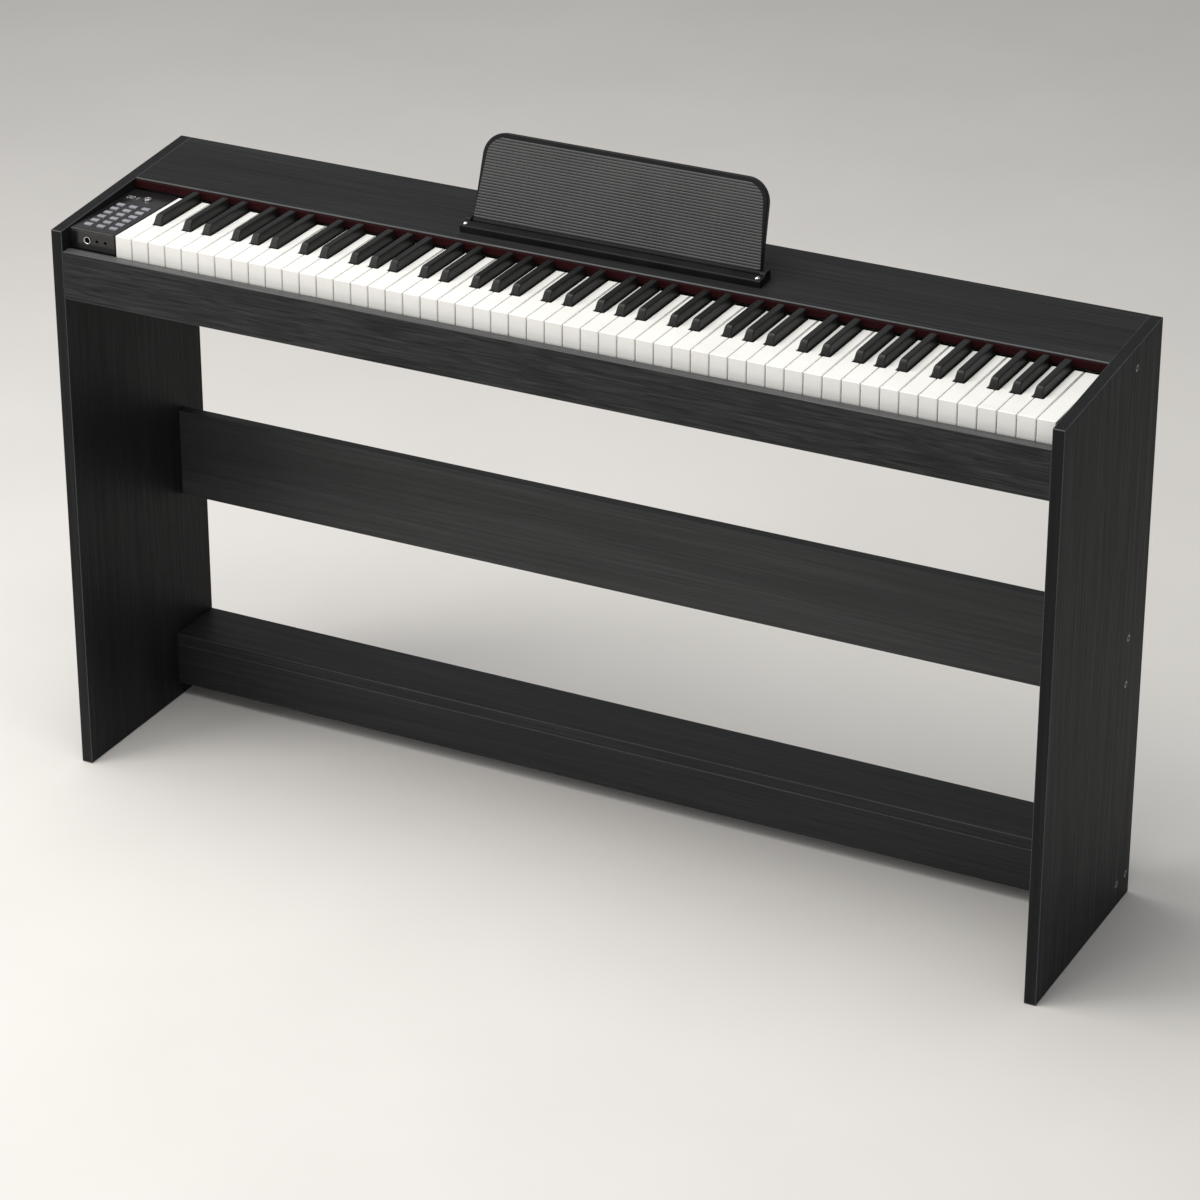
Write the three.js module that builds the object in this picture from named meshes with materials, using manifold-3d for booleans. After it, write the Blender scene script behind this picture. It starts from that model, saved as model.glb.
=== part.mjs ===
// A slim 88-key digital piano built into a flat-pack wooden stand.
// Millimetres, +Z up, +X to the player's right, +Y away from the player.
// The frame's origin is on the floor, under the middle of the piano.
// Inside the file y is measured from the front edge of the side panels, and one group shifts it.
import * as THREE from "three";
import { mergeVertices } from "three/addons/utils/BufferGeometryUtils.js";
import Module from "manifold-3d";

const wasm = await Module();
wasm.setup();

// Driving dimensions -------------------------------------------------------------------------
const WIDTH = 1320; // over the side panels
const DEPTH = 300;
const FRONT_HEIGHT = 733; // side panel at its front edge
const BACK_HEIGHT = 757; // side panel at its back edge
const BOARD = 15; // board thickness
const GAP = 0.3; // air left between pieces that touch
const INNER = WIDTH / 2 - BOARD - GAP; // half the length of the boards between the panels
const SLOPE = Math.atan2(BACK_HEIGHT - FRONT_HEIGHT, DEPTH); // tilt of the deck

const KEYBED_LOW = 645;
const KEYBED_TOP = KEYBED_LOW + BOARD;
const FASCIA_TOP = 707;
const DECK_FRONT = 169; // front edge of the top board
const REAR_PANEL = [286, 298];

const WHITE_PITCH = 23.5;
const WHITE_COUNT = 52;
const BLACK_SLOT = 13.7;
const KEYS_RIGHT = 642.5;
const KEYS_LEFT = KEYS_RIGHT - WHITE_COUNT * WHITE_PITCH;
const KEY_GAP = 0.5; // half the air between two white keys
const BLACK_GAP = 1.1; // between a black key and its slot
const KEY_TOP = FRONT_HEIGHT;
const KEY_FRONT = 18;
const KEY_END = 162; // where the playing surface stops, just before the felt
const HEAD_BACK = 70; // the wide front part of a white key ends here
const HEAD_LOW = 704; // its front face reaches just below the fascia's top
const BLACK_RISE = 12;
const PIVOT = [272, 711]; // y and z of the bead that all the keys turn on
const ARM = [706, 716]; // low and high side of a key's thin rear arm
const ARM_BACK = 276;
const CLIP = 1.9; // half the mouth of a key's clip
const BEAD = 1.6; // radius of the bead inside the clip

const STRETCHER = { y: [241, 256], z: [283, 402] };
const BEAM = { front: 212, low: 20, top: 92, shelf: 23 };
const BATTEN = { y: [215, 231], z: [718, 735] };

const LEDGE = { centre: 4, width: 400, front: 187.6, bar: 203, back: 217.6, plate: 2, height: 9 };
const REST = { width: 383.4, top: 376, height: 110, thick: 10, corner: 30, lean: 16 };
const REST_PIVOT = [210.3, 7.8]; // along the deck and above it

const HOUSING = { x: [-INNER, KEYS_LEFT - 1], y: [KEY_FRONT, 165.8], low: KEYBED_TOP + 0.6, wall: 2.5 };
const BUTTON = { width: 11, depth: 7, rows: 6, pitch: 14.5, first: 36, play: 0.5, proud: 2 };
const BUTTON_COLUMNS = { left: -628.5, middle: -610.5, right: -592.5 };
const WEB = [727.5, 729.5]; // the rubber web under a column of buttons
const POWER = { x: -608.5, y: 138, radius: 5 };
const DISPLAY = { x: [-640, -620], y: [131, 145], thick: 1.3 };
const PHONES = { x: -619.5, z: 720, bore: 3.3 };

const SPEAKER = { x: 430, y: 152.5, stretch: 1.9 };
const SOCKETS = {
  centre: -420,
  z: 690,
  body: [110, 26],
  flange: [122, 38],
  power: { x: -460, radius: 4.2 },
  pedal: { x: -380, radius: 3.4 },
  data: { x: -420, size: [12.2, 11.2] },
};

const SCREW = { head: 4.75, headDepth: 2, shaft: 2.5, length: 42 };
const SCREW_PLACES = {
  top: [223, 722.5],
  stretcher_upper: [248.5, 369],
  stretcher_lower: [248.5, 307.5],
  beam_front: [258, 30.5],
  beam_back: [288, 30.5],
};

// Finishes -----------------------------------------------------------------------------------
const FINISH = {
  laminate: [0x2b2c2e, 0.55, 0],
  white_key: [0xeeede8, 0.3, 0],
  black_key: [0x2a2b2a, 0.4, 0],
  black_plastic: [0x1b1b1c, 0.35, 0],
  rest_plastic: [0x3a3a3b, 0.6, 0],
  button: [0x9a9aa2, 0.45, 0],
  glass: [0x30343a, 0.1, 0],
  felt: [0x5c1a20, 0.95, 0],
  steel: [0xb9babc, 0.3, 1],
  black_steel: [0x2c2d2f, 0.4, 1],
  zinc: [0x8b8d90, 0.45, 1],
  board_green: [0x1f4a30, 0.6, 0],
};

// Building helpers ---------------------------------------------------------------------------
function solid(geometry) {
  const bare = new THREE.BufferGeometry();
  const source = geometry.index ? geometry.toNonIndexed() : geometry;
  bare.setAttribute("position", source.getAttribute("position"));
  const merged = mergeVertices(bare, 1e-3);
  const vertProperties = merged.getAttribute("position").array;
  const triVerts = new Uint32Array(merged.index.array);
  return new wasm.Manifold(new wasm.Mesh({ numProp: 3, vertProperties, triVerts }));
}

function geometryOf(manifold) {
  const mesh = manifold.getMesh();
  const geometry = new THREE.BufferGeometry();
  geometry.setAttribute("position", new THREE.BufferAttribute(mesh.vertProperties, 3));
  geometry.setIndex(new THREE.BufferAttribute(mesh.triVerts, 1));
  return geometry;
}

function box(x, y, z) {
  const geometry = new THREE.BoxGeometry(x[1] - x[0], y[1] - y[0], z[1] - z[0]);
  return geometry.translate((x[0] + x[1]) / 2, (y[0] + y[1]) / 2, (z[0] + z[1]) / 2);
}

// A closed outline of [y, z] points carried from x[0] to x[1].
function alongX(outline, x) {
  const shape = new THREE.Shape(outline.map(([y, z]) => new THREE.Vector2(y, z)));
  const geometry = new THREE.ExtrudeGeometry(shape, { depth: x[1] - x[0], bevelEnabled: false });
  const turn = new THREE.Matrix4().makeBasis(
    new THREE.Vector3(0, 1, 0),
    new THREE.Vector3(0, 0, 1),
    new THREE.Vector3(1, 0, 0),
  );
  return geometry.applyMatrix4(turn).translate(x[0], 0, 0);
}

// A profile of [radius, height] points turned about the local Z axis.
function turned(profile, segments) {
  const points = profile.map(([r, h]) => new THREE.Vector2(r, h));
  return new THREE.LatheGeometry(points, segments).rotateX(Math.PI / 2);
}

// A round bar from x[0] to x[1], centred on y and z.
function rodX(radius, x, y, z, segments = 10) {
  const geometry = new THREE.CylinderGeometry(radius, radius, x[1] - x[0], segments);
  return geometry.rotateZ(Math.PI / 2).translate((x[0] + x[1]) / 2, y, z);
}

function rodZ(radius, x, y, z, segments = 12) {
  const geometry = new THREE.CylinderGeometry(radius, radius, z[1] - z[0], segments);
  return geometry.rotateX(Math.PI / 2).translate(x, y, (z[0] + z[1]) / 2);
}

function rodY(radius, x, y, z, segments = 12) {
  return new THREE.CylinderGeometry(radius, radius, y[1] - y[0], segments)
    .translate(x, (y[0] + y[1]) / 2, z);
}

function join(geometries) {
  const [first, ...rest] = geometries.map(solid);
  return geometryOf(rest.reduce((sum, next) => sum.add(next), first));
}

function cut(geometry, tools) {
  return geometryOf(tools.map(solid).reduce((sum, tool) => sum.subtract(tool), solid(geometry)));
}

const piano = new THREE.Group();
const body = new THREE.Group();
body.position.y = -DEPTH / 2;
piano.add(body);
const deck = new THREE.Group(); // its x-y plane is the top board's upper face
deck.position.z = FRONT_HEIGHT;
deck.rotation.x = SLOPE;
body.add(deck);

function addNode(name, geometry, finish, parent = body) {
  const [color, roughness, metalness] = FINISH[finish];
  const material = new THREE.MeshStandardMaterial({ color, roughness, metalness });
  const mesh = new THREE.Mesh(geometry, material);
  mesh.name = name;
  parent.add(mesh);
  return mesh;
}

function deckHeight(y) {
  return FRONT_HEIGHT + y * Math.tan(SLOPE);
}

// Wooden boards ------------------------------------------------------------------------------
function screwHole([y, z], side) {
  const outer = (side * WIDTH) / 2;
  const headHole = [outer - side * (SCREW.headDepth + 0.9), outer + side];
  const shaftHole = [outer - side * (SCREW.length + 1.5), outer + side];
  return [
    rodX(SCREW.head + GAP, headHole.sort((a, b) => a - b), y, z, 10),
    rodX(SCREW.shaft + GAP, shaftHole.sort((a, b) => a - b), y, z, 8),
  ];
}

function holesFor(...names) {
  return names.flatMap((name) => [-1, 1].flatMap((side) => screwHole(SCREW_PLACES[name], side)));
}

function addSidePanels() {
  const outline = [[0, 0], [DEPTH, 0], [DEPTH, BACK_HEIGHT], [0, FRONT_HEIGHT]];
  for (const [name, side] of [["left", -1], ["right", 1]]) {
    const faces = [(side * WIDTH) / 2, side * (WIDTH / 2 - BOARD)].sort((a, b) => a - b);
    const holes = Object.values(SCREW_PLACES).flatMap((place) => screwHole(place, side));
    addNode("side_panel_" + name, cut(alongX(outline, faces), holes), "laminate");
  }
}

function addScrews() {
  const { head, headDepth, shaft, length } = SCREW;
  const profile = [[0, 0], [shaft, 0], [shaft, length - headDepth], [head, length - headDepth],
    [head, length], [0, length]];
  for (const [place, [y, z]] of Object.entries(SCREW_PLACES)) {
    for (const [name, side] of [["left", -1], ["right", 1]]) {
      const geometry = geometryOf(solid(turned(profile, 10))).rotateY((side * Math.PI) / 2);
      const screw = addNode("screw_" + place + "_" + name, geometry, "black_steel");
      screw.position.set(side * (WIDTH / 2 - GAP - length), y, z);
    }
  }
}

function addBoards() {
  const x = [-INNER, INNER];
  const under = (y) => deckHeight(y) - BOARD;
  const back = DEPTH - GAP;
  const ledgeScrews = [-1, 1].map((side) => {
    const { x: place, along } = ledgeScrewPlace(side);
    return rodZ(1.8, place, along, [-10, 5], 8).rotateX(SLOPE).translate(0, 0, FRONT_HEIGHT);
  });
  const top = [[DECK_FRONT, under(DECK_FRONT)], [back, under(back)],
    [back, deckHeight(back)], [DECK_FRONT, deckHeight(DECK_FRONT)]];
  addNode("top_board", cut(alongX(top, x), ledgeScrews), "laminate");

  const batten = box(x, BATTEN.y, BATTEN.z);
  addNode("top_batten", cut(batten, holesFor("top")), "laminate");
  addNode("fascia_board", box(x, [0.5, BOARD], [KEYBED_LOW, FASCIA_TOP]), "laminate");

  const keybed = box(x, [BOARD + GAP, REAR_PANEL[0] - GAP], [KEYBED_LOW, KEYBED_TOP]);
  const mouths = [-SPEAKER.x, SPEAKER.x].map((centre) =>
    rodZ(24, 0, 0, [KEYBED_LOW - 1, KEYBED_TOP + 1], 16)
      .scale(SPEAKER.stretch, 1, 1)
      .translate(centre, SPEAKER.y, 0));
  addNode("keybed_board", cut(keybed, mouths), "laminate");

  const rear = box(x, REAR_PANEL, [KEYBED_LOW, under(REAR_PANEL[0]) - GAP]);
  const { centre, z, body: size } = SOCKETS;
  const window = box(
    [centre - size[0] / 2 - GAP, centre + size[0] / 2 + GAP],
    [REAR_PANEL[0] - 1, REAR_PANEL[1] + 1],
    [z - size[1] / 2 - GAP, z + size[1] / 2 + GAP],
  );
  addNode("rear_panel", cut(rear, [window]), "laminate");

  const stretcher = box(x, STRETCHER.y, STRETCHER.z);
  const stretcherHoles = holesFor("stretcher_upper", "stretcher_lower");
  addNode("mid_stretcher", cut(stretcher, stretcherHoles), "laminate");

  const { front, low, top: beamTop, shelf } = BEAM;
  const beamBoard = [beamTop - BOARD, beamTop];
  addNode("lower_beam_top", box(x, [front, back], beamBoard), "laminate");
  addNode("lower_beam_front", box(x, [front, front + BOARD], [low, beamBoard[0] - GAP]), "laminate");
  const bottom = box(x, [front + BOARD + GAP, back], [shelf, shelf + BOARD]);
  addNode("lower_beam_bottom", cut(bottom, holesFor("beam_front", "beam_back")), "laminate");
}

// Keys ---------------------------------------------------------------------------------------
// Keys are moulded in combs. Each octave has three: C E G B, D F A, and the five black keys.
// Every key clips over one bead at the back, and a cross bar ties a comb's keys together.
function octaveKeys() {
  const keys = [];
  const addGroup = (combs, firstWhite) => {
    const blacks = combs.length - 1;
    const tail = (combs.length * WHITE_PITCH - blacks * BLACK_SLOT) / combs.length;
    combs.forEach((comb, i) => {
      const left = firstWhite * WHITE_PITCH + i * (tail + BLACK_SLOT);
      const head = (firstWhite + i) * WHITE_PITCH;
      keys.push({ comb, head: [head, head + WHITE_PITCH], tail: [left, left + tail] });
      if (i < blacks) keys.push({ comb: "black", tail: [left + tail, left + tail + BLACK_SLOT] });
    });
  };
  addGroup(["cegb", "dfa", "cegb"], 0);
  addGroup(["dfa", "cegb", "dfa", "cegb"], 3);
  return keys;
}

// The keyboard starts on A of octave 0 and ends on C of octave 8.
function allKeys() {
  const firstWhite = 5;
  const octaves = 9;
  const keys = [];
  for (let octave = 0; octave < octaves; octave += 1) {
    const left = KEYS_LEFT + (octave * 7 - firstWhite) * WHITE_PITCH;
    for (const key of octaveKeys()) {
      const shift = (span) => span && span.map((x) => x + left);
      const placed = { comb: key.comb, head: shift(key.head), tail: shift(key.tail) };
      const start = placed.head ? placed.head[0] : placed.tail[0];
      if (start < KEYS_LEFT - 1 || placed.tail[1] > KEYS_RIGHT + 1) continue;
      if (octave === 8 && !key.head) continue;
      if (Math.abs(start - KEYS_LEFT) < 1) placed.tail[0] = start;
      if (octave === 8) placed.tail = placed.head;
      placed.set = Math.min(Math.max(octave, 1), 7);
      keys.push(placed);
    }
  }
  return keys;
}

// The side outline that all keys share behind their playing surface, from the top down.
function clipOutline() {
  const [y, z] = PIVOT;
  const shut = y - BEAD - 0.5;
  return [[ARM_BACK, ARM[1]], [ARM_BACK, z + CLIP], [shut, z + CLIP], [shut, z - CLIP],
    [ARM_BACK, z - CLIP], [ARM_BACK, ARM[0]]];
}

function whiteKey({ head, tail }) {
  const side = [[HEAD_BACK - 2, KEY_TOP - 19], [HEAD_BACK - 2, KEY_TOP], [KEY_END, KEY_TOP],
    [KEY_END + 3, ARM[1]], ...clipOutline()].reverse();
  const headX = [head[0] + KEY_GAP, head[1] - KEY_GAP];
  const headBox = box(headX, [KEY_FRONT, HEAD_BACK], [HEAD_LOW, KEY_TOP]);
  return [headBox, alongX(side, [tail[0] + KEY_GAP, tail[1] - KEY_GAP])];
}

function blackKey({ tail }) {
  const top = KEY_TOP + BLACK_RISE;
  const front = HEAD_BACK + 1;
  const side = [[front + 1, 710], [front, KEY_TOP], [front + 7, top], [160, top], [165, ARM[1]],
    ...clipOutline()].reverse();
  return [alongX(side, [tail[0] + BLACK_GAP, tail[1] - BLACK_GAP])];
}

// Cross bars pass over or under the other combs' arms, with room for the keys to move.
const BARS = {
  cegb: { y: [236, 242], z: [718.5, 722.5], riser: [ARM[1] - 1, 719] },
  dfa: { y: [248, 254], z: [718.5, 722.5], riser: [ARM[1] - 1, 719] },
  black: { y: [242, 248], z: [699, 703], riser: [702.5, 708] },
};

function combGeometry(keys, bar) {
  const spans = keys.map(({ comb, tail }) => {
    const gap = comb === "black" ? BLACK_GAP : KEY_GAP;
    return [tail[0] + gap, tail[1] - gap];
  });
  const barX = [Math.min(...spans.map((s) => s[0])), Math.max(...spans.map((s) => s[1]))];
  const pieces = keys.flatMap((key) => (key.head ? whiteKey(key) : blackKey(key)));
  const risers = spans.map((span) => box(span, bar.y, bar.riser));
  return join([...pieces, ...risers, box(barX, bar.y, bar.z)]);
}

function addKeys() {
  const keys = allKeys();
  for (let set = 1; set <= 7; set += 1) {
    for (const [comb, bar] of Object.entries(BARS)) {
      const mine = keys.filter((key) => key.set === set && key.comb === comb);
      const name = comb === "black" ? "black_keys_" + set : "white_keys_" + set + "_" + comb;
      addNode(name, combGeometry(mine, bar), comb === "black" ? "black_key" : "white_key");
    }
  }
}

// The chassis is one folded profile: front stop, hat for the contact board, wall with the bead.
function addChassis() {
  const low = KEYBED_TOP + GAP;
  const sheet = 3;
  const stop = { y: [24, 40], z: 692.5 };
  const hat = { y: [120, 185], z: 690 };
  const wall = [279, 284];
  const [py, pz] = PIVOT;
  const stem = BEAD / 2;
  const arc = [];
  for (let angle = 30; angle <= 330; angle += 50) {
    const a = THREE.MathUtils.degToRad(angle);
    arc.push([py + BEAD * Math.cos(a), pz + BEAD * Math.sin(a)]);
  }
  const outline = [[stop.y[0], low], [hat.y[0], low], [hat.y[0], hat.z], [hat.y[1], hat.z],
    [hat.y[1], low], [wall[1], low], [wall[1], pz + 7], [wall[0], pz + 7], [wall[0], pz + stem],
    ...arc, [wall[0], pz - stem], [wall[0], low + sheet], [hat.y[1] + sheet, low + sheet],
    [hat.y[1] + sheet, hat.z + sheet], [hat.y[0] - sheet, hat.z + sheet],
    [hat.y[0] - sheet, low + sheet], [stop.y[1], low + sheet], [stop.y[1], stop.z],
    [stop.y[0], stop.z]];
  const x = [KEYS_LEFT, KEYS_RIGHT + 0.5];
  addNode("key_chassis", alongX(outline, x), "zinc");
  const boardLow = hat.z + sheet + GAP;
  const board = box([x[0] + 4, x[1] - 4], [hat.y[0] + 2, hat.y[1] - 2], [boardLow, boardLow + 1.6]);
  addNode("contact_board", board, "board_green");
}

// Felt, speakers and rear sockets ------------------------------------------------------------
function addFelt() {
  const y = [DECK_FRONT - 2.5, DECK_FRONT - GAP];
  addNode("felt_strip", box([-INNER, INNER], y, [KEY_TOP + 1.3, KEY_TOP + 11.3]), "felt");
}

function addSpeakers() {
  const profile = [[0, 6], [9, 7], [24, 0], [30, 0], [30, 2.5], [23, 3], [15, 13], [15, 24], [0, 24]];
  for (const [name, side] of [["left", -1], ["right", 1]]) {
    const cone = geometryOf(solid(turned(profile, 14)));
    const speaker = addNode("speaker_" + name, cone, "black_plastic");
    speaker.scale.set(SPEAKER.stretch, 1, 1);
    speaker.position.set(side * SPEAKER.x, SPEAKER.y, KEYBED_TOP + GAP);
  }
}

function addRearSockets() {
  const { centre, z, body: size, flange, power, pedal, data } = SOCKETS;
  const around = (middle, width) => [middle - width / 2, middle + width / 2];
  const plateY = [REAR_PANEL[1] + GAP, REAR_PANEL[1] + 1.7];
  const block = box(around(centre, size[0]), [REAR_PANEL[0] - 0.5, plateY[1]], around(z, size[1]));
  const plate = box(around(centre, flange[0]), plateY, around(z, flange[1]));
  const through = [REAR_PANEL[0] - 2, DEPTH + 1];
  const holes = [
    rodY(power.radius, power.x, through, z, 12),
    rodY(pedal.radius, pedal.x, through, z, 12),
    box(around(data.x, data.size[0]), through, around(z, data.size[1])),
  ];
  addNode("rear_socket_plate", cut(join([block, plate]), holes), "black_plastic");
}

// Control block ------------------------------------------------------------------------------
function buttonRows() {
  return Array.from({ length: BUTTON.rows }, (_, row) => BUTTON.first + row * BUTTON.pitch);
}

function buttonBox(x, y, z, extra) {
  const halfX = BUTTON.width / 2 + extra;
  const halfY = BUTTON.depth / 2 + extra;
  return box([x - halfX, x + halfX], [y - halfY, y + halfY], z);
}

function addControlHousing() {
  const { x, y, low, wall } = HOUSING;
  const shell = box(x, y, [low, KEY_TOP]);
  const inside = box(
    [x[0] + wall, x[1] - wall],
    [y[0] + wall, y[1] - wall],
    [low - 1, KEY_TOP - wall],
  );
  const through = [KEY_TOP - wall - 1, KEY_TOP + 1];
  const buttonHoles = Object.values(BUTTON_COLUMNS).flatMap((column) =>
    buttonRows().map((row) => buttonBox(column, row, through, BUTTON.play)));
  const displayPocket = box(
    [DISPLAY.x[0] - GAP, DISPLAY.x[1] + GAP],
    [DISPLAY.y[0] - GAP, DISPLAY.y[1] + GAP],
    [KEY_TOP - DISPLAY.thick - GAP, KEY_TOP + 1],
  );
  const powerHole = rodZ(POWER.radius + BUTTON.play, POWER.x, POWER.y, through);
  const frontWall = [y[0] - 1, y[0] + wall + 1];
  const phonesHole = rodY(4.7, PHONES.x, frontWall, PHONES.z, 12);
  const smallHoles = [-606, -594].map((place) => rodY(1.9, place, frontWall, PHONES.z, 8));
  const tools = [inside, ...buttonHoles, displayPocket, powerHole, phonesHole, ...smallHoles];
  addNode("control_housing", cut(shell, tools), "black_plastic");
}

function addButtons() {
  const capZ = [WEB[1] - 0.5, KEY_TOP + BUTTON.proud];
  const rows = buttonRows();
  const webY = [rows[0] - BUTTON.depth / 2 - 2, rows[BUTTON.rows - 1] + BUTTON.depth / 2 + 2];
  for (const [name, x] of Object.entries(BUTTON_COLUMNS)) {
    const web = box([x - BUTTON.width / 2 - 1.5, x + BUTTON.width / 2 + 1.5], webY, WEB);
    const caps = rows.map((row) => buttonBox(x, row, capZ, 0));
    addNode("button_column_" + name, join([web, ...caps]), "button");
  }
  const { x, y, radius } = POWER;
  const flange = rodZ(radius + 1.5, x, y, WEB);
  const cap = rodZ(radius, x, y, [capZ[0], capZ[1] + 0.3]);
  addNode("power_button", join([flange, cap]), "steel");
  const windowZ = [KEY_TOP - DISPLAY.thick, KEY_TOP];
  addNode("display_window", box(DISPLAY.x, DISPLAY.y, windowZ), "glass");
}

function addControlInside() {
  const { x, y, wall } = HOUSING;
  const room = wall + 0.5;
  const board = box([x[0] + room, x[1] - room], [30, y[1] - room], [712, 713.6]);
  addNode("main_board", board, "board_green");
  const { bore, x: place, z } = PHONES;
  const ring = [[bore, 0], [4.3, 0], [4.3, 20], [5, 20], [5, 21], [bore, 21], [bore, 0]];
  const socket = geometryOf(solid(turned(ring, 12))).rotateX(Math.PI / 2);
  addNode("headphone_socket", socket, "steel").position.set(place, KEY_FRONT + 19.7, z);
}

// Music rest ---------------------------------------------------------------------------------
function ledgeScrewPlace(side) {
  return { x: LEDGE.centre + side * (LEDGE.width / 2 - 6), along: LEDGE.front + 6 };
}

function addLedge() {
  const { centre, width, front, bar, back, plate, height } = LEDGE;
  const x = [centre - width / 2, centre + width / 2];
  const outline = [[front, GAP], [back, GAP], [back, plate + GAP], [bar, plate + GAP],
    [bar, height + GAP], [front + 1.5, height + GAP], [front, height + GAP - 1.5]];
  const ears = [[x[0], centre - REST.width / 2 - 0.6], [centre + REST.width / 2 + 0.6, x[1]]]
    .map((span) => box(span, [bar - 1, back], [GAP, height + 3.5]));
  const pinHole = rodX(2.3, [x[0] - 1, x[1] + 1], REST_PIVOT[0], REST_PIVOT[1], 10);
  const screwHoles = [-1, 1].map((side) => {
    const place = ledgeScrewPlace(side);
    return rodZ(1.8, place.x, place.along, [-1, height + 2], 8);
  });
  const ledge = cut(join([alongX(outline, x), ...ears]), [pinHole, ...screwHoles]);
  addNode("rest_ledge", ledge, "black_plastic", deck);
  const profile = [[0, -8], [1.5, -8], [1.5, height + 2 * GAP], [3.4, height + 2 * GAP],
    [2.4, height + 2.2], [0, height + 2.6]];
  for (const [name, side] of [["left", -1], ["right", 1]]) {
    const place = ledgeScrewPlace(side);
    const screw = addNode("ledge_screw_" + name, geometryOf(solid(turned(profile, 10))), "steel", deck);
    screw.position.set(place.x, place.along, 0);
  }
}

// The panel is drawn upright with its pivot at the origin, then leant back.
function addMusicRest() {
  const { width, top, height, thick, corner, lean } = REST;
  const sideLean = Math.atan2((width - top) / 2, height);
  const shape = new THREE.Shape();
  shape.moveTo(-width / 2, 0);
  shape.lineTo(width / 2, 0);
  shape.absarc(top / 2 - corner, height - corner, corner, sideLean, Math.PI / 2, false);
  shape.absarc(corner - top / 2, height - corner, corner, Math.PI / 2, Math.PI - sideLean, false);
  const options = { depth: thick, bevelEnabled: false, curveSegments: 5 };
  const panel = new THREE.ExtrudeGeometry(shape, options).rotateX(Math.PI / 2);
  panel.translate(0, thick / 2, 0);
  const half = width / 2;
  const barrel = rodX(thick / 2, [-half, half], 0, 0, 12);
  const pins = rodX(2, [-half - 6, half + 6], 0, 0, 10);
  const rest = addNode("music_rest", join([panel, barrel, pins]), "rest_plastic", deck);
  rest.position.set(LEDGE.centre, REST_PIVOT[0], REST_PIVOT[1]);
  rest.rotation.x = -SLOPE - THREE.MathUtils.degToRad(lean);
}

addSidePanels();
addBoards();
addScrews();
addChassis();
addKeys();
addFelt();
addSpeakers();
addRearSockets();
addControlHousing();
addButtons();
addControlInside();
addLedge();
addMusicRest();

export default piano;
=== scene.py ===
# %% [markdown]
# A slim 88-key digital piano built into a flat-pack stand.
#
# The solid model of the piano comes in first. It fixes every place and size, and
# everything below is built around it. Lengths are written in millimetres, with y
# measured from the front edge of the side panels, because that is how a maker
# would mark out the boards. One function turns them into Blender's metres.

# %% Load the fixed frame
import math
import bpy
import numpy as np
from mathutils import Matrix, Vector
from mathutils.geometry import tessellate_polygon


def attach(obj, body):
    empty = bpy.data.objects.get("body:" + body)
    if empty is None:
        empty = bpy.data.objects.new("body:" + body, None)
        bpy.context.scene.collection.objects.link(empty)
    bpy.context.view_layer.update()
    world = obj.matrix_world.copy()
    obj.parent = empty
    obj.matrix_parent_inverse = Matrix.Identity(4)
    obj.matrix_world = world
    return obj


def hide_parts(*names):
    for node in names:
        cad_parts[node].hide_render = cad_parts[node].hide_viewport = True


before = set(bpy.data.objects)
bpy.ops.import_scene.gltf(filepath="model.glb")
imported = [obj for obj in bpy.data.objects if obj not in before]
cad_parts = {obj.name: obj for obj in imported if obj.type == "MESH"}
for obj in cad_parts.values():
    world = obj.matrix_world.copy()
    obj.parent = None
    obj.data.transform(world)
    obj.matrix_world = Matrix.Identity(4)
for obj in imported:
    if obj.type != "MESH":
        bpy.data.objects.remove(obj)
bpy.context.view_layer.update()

# %% [markdown]
# A few sizes drive the rest. The boards are 15 mm thick, and the outer faces of the
# side panels stand 660 mm to either side of the middle. Pieces that meet stay
# 0.3 mm apart, because two faces in one place would flicker, and real boards leave
# a hair of air there too. The tops of the white keys are level with the front ends
# of the panels.

# %% The driving sizes
DEPTH = 300.0
FRONT_HEIGHT, BACK_HEIGHT = 733.0, 757.0
SLOPE = math.atan2(BACK_HEIGHT - FRONT_HEIGHT, DEPTH)
BOARD, GAP, EDGE = 15.0, 0.3, 0.8
OUTSIDE = 660.0
INSIDE = OUTSIDE - BOARD
INNER = INSIDE - GAP
BACK = DEPTH - GAP
KEY_TOP, KEY_FRONT, KEY_FOOT = FRONT_HEIGHT, 18.0, 704.1
BED_LOW = 645.0
BED_HIGH = BED_LOW + BOARD
REAR_FRONT, REAR_BACK = 286.0, 298.0
print("space between the panels:", round(2 * INSIDE), "mm")

# %% [markdown]
# Every piece is one or more closed shells. A shell can come out inside out when a
# ring of points runs the other way round, which shows up later as black patches.
# It could be mended by hand with Recalculate Normals. Here the volume is measured
# instead: a shell whose faces point outwards has a positive one.

# %% From shells to Blender objects
SQUARE_ON, LOOKS_UP = 0.97, 0.6


def outward(verts, faces):
    """Turns the faces round if the volume, the sum of p0 . (p1 x p2) / 6 over their triangles, is
    negative."""
    fans = [(f[0], f[i], f[i + 1]) for f in faces for i in range(1, len(f) - 1)]
    p = verts[np.array(fans)]
    volume = np.einsum("ij,ij->i", p[:, 0], np.cross(p[:, 1], p[:, 2])).sum() / 6
    return faces if volume > 0 else [f[::-1] for f in faces]


def finish_object(obj, material, body, replaces):
    """Gives a piece its finish and the body that it moves with."""
    obj.data.materials.clear()
    obj.data.materials.append(material)
    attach(obj, body)
    if replaces:
        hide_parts(*replaces)
    return obj


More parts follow.
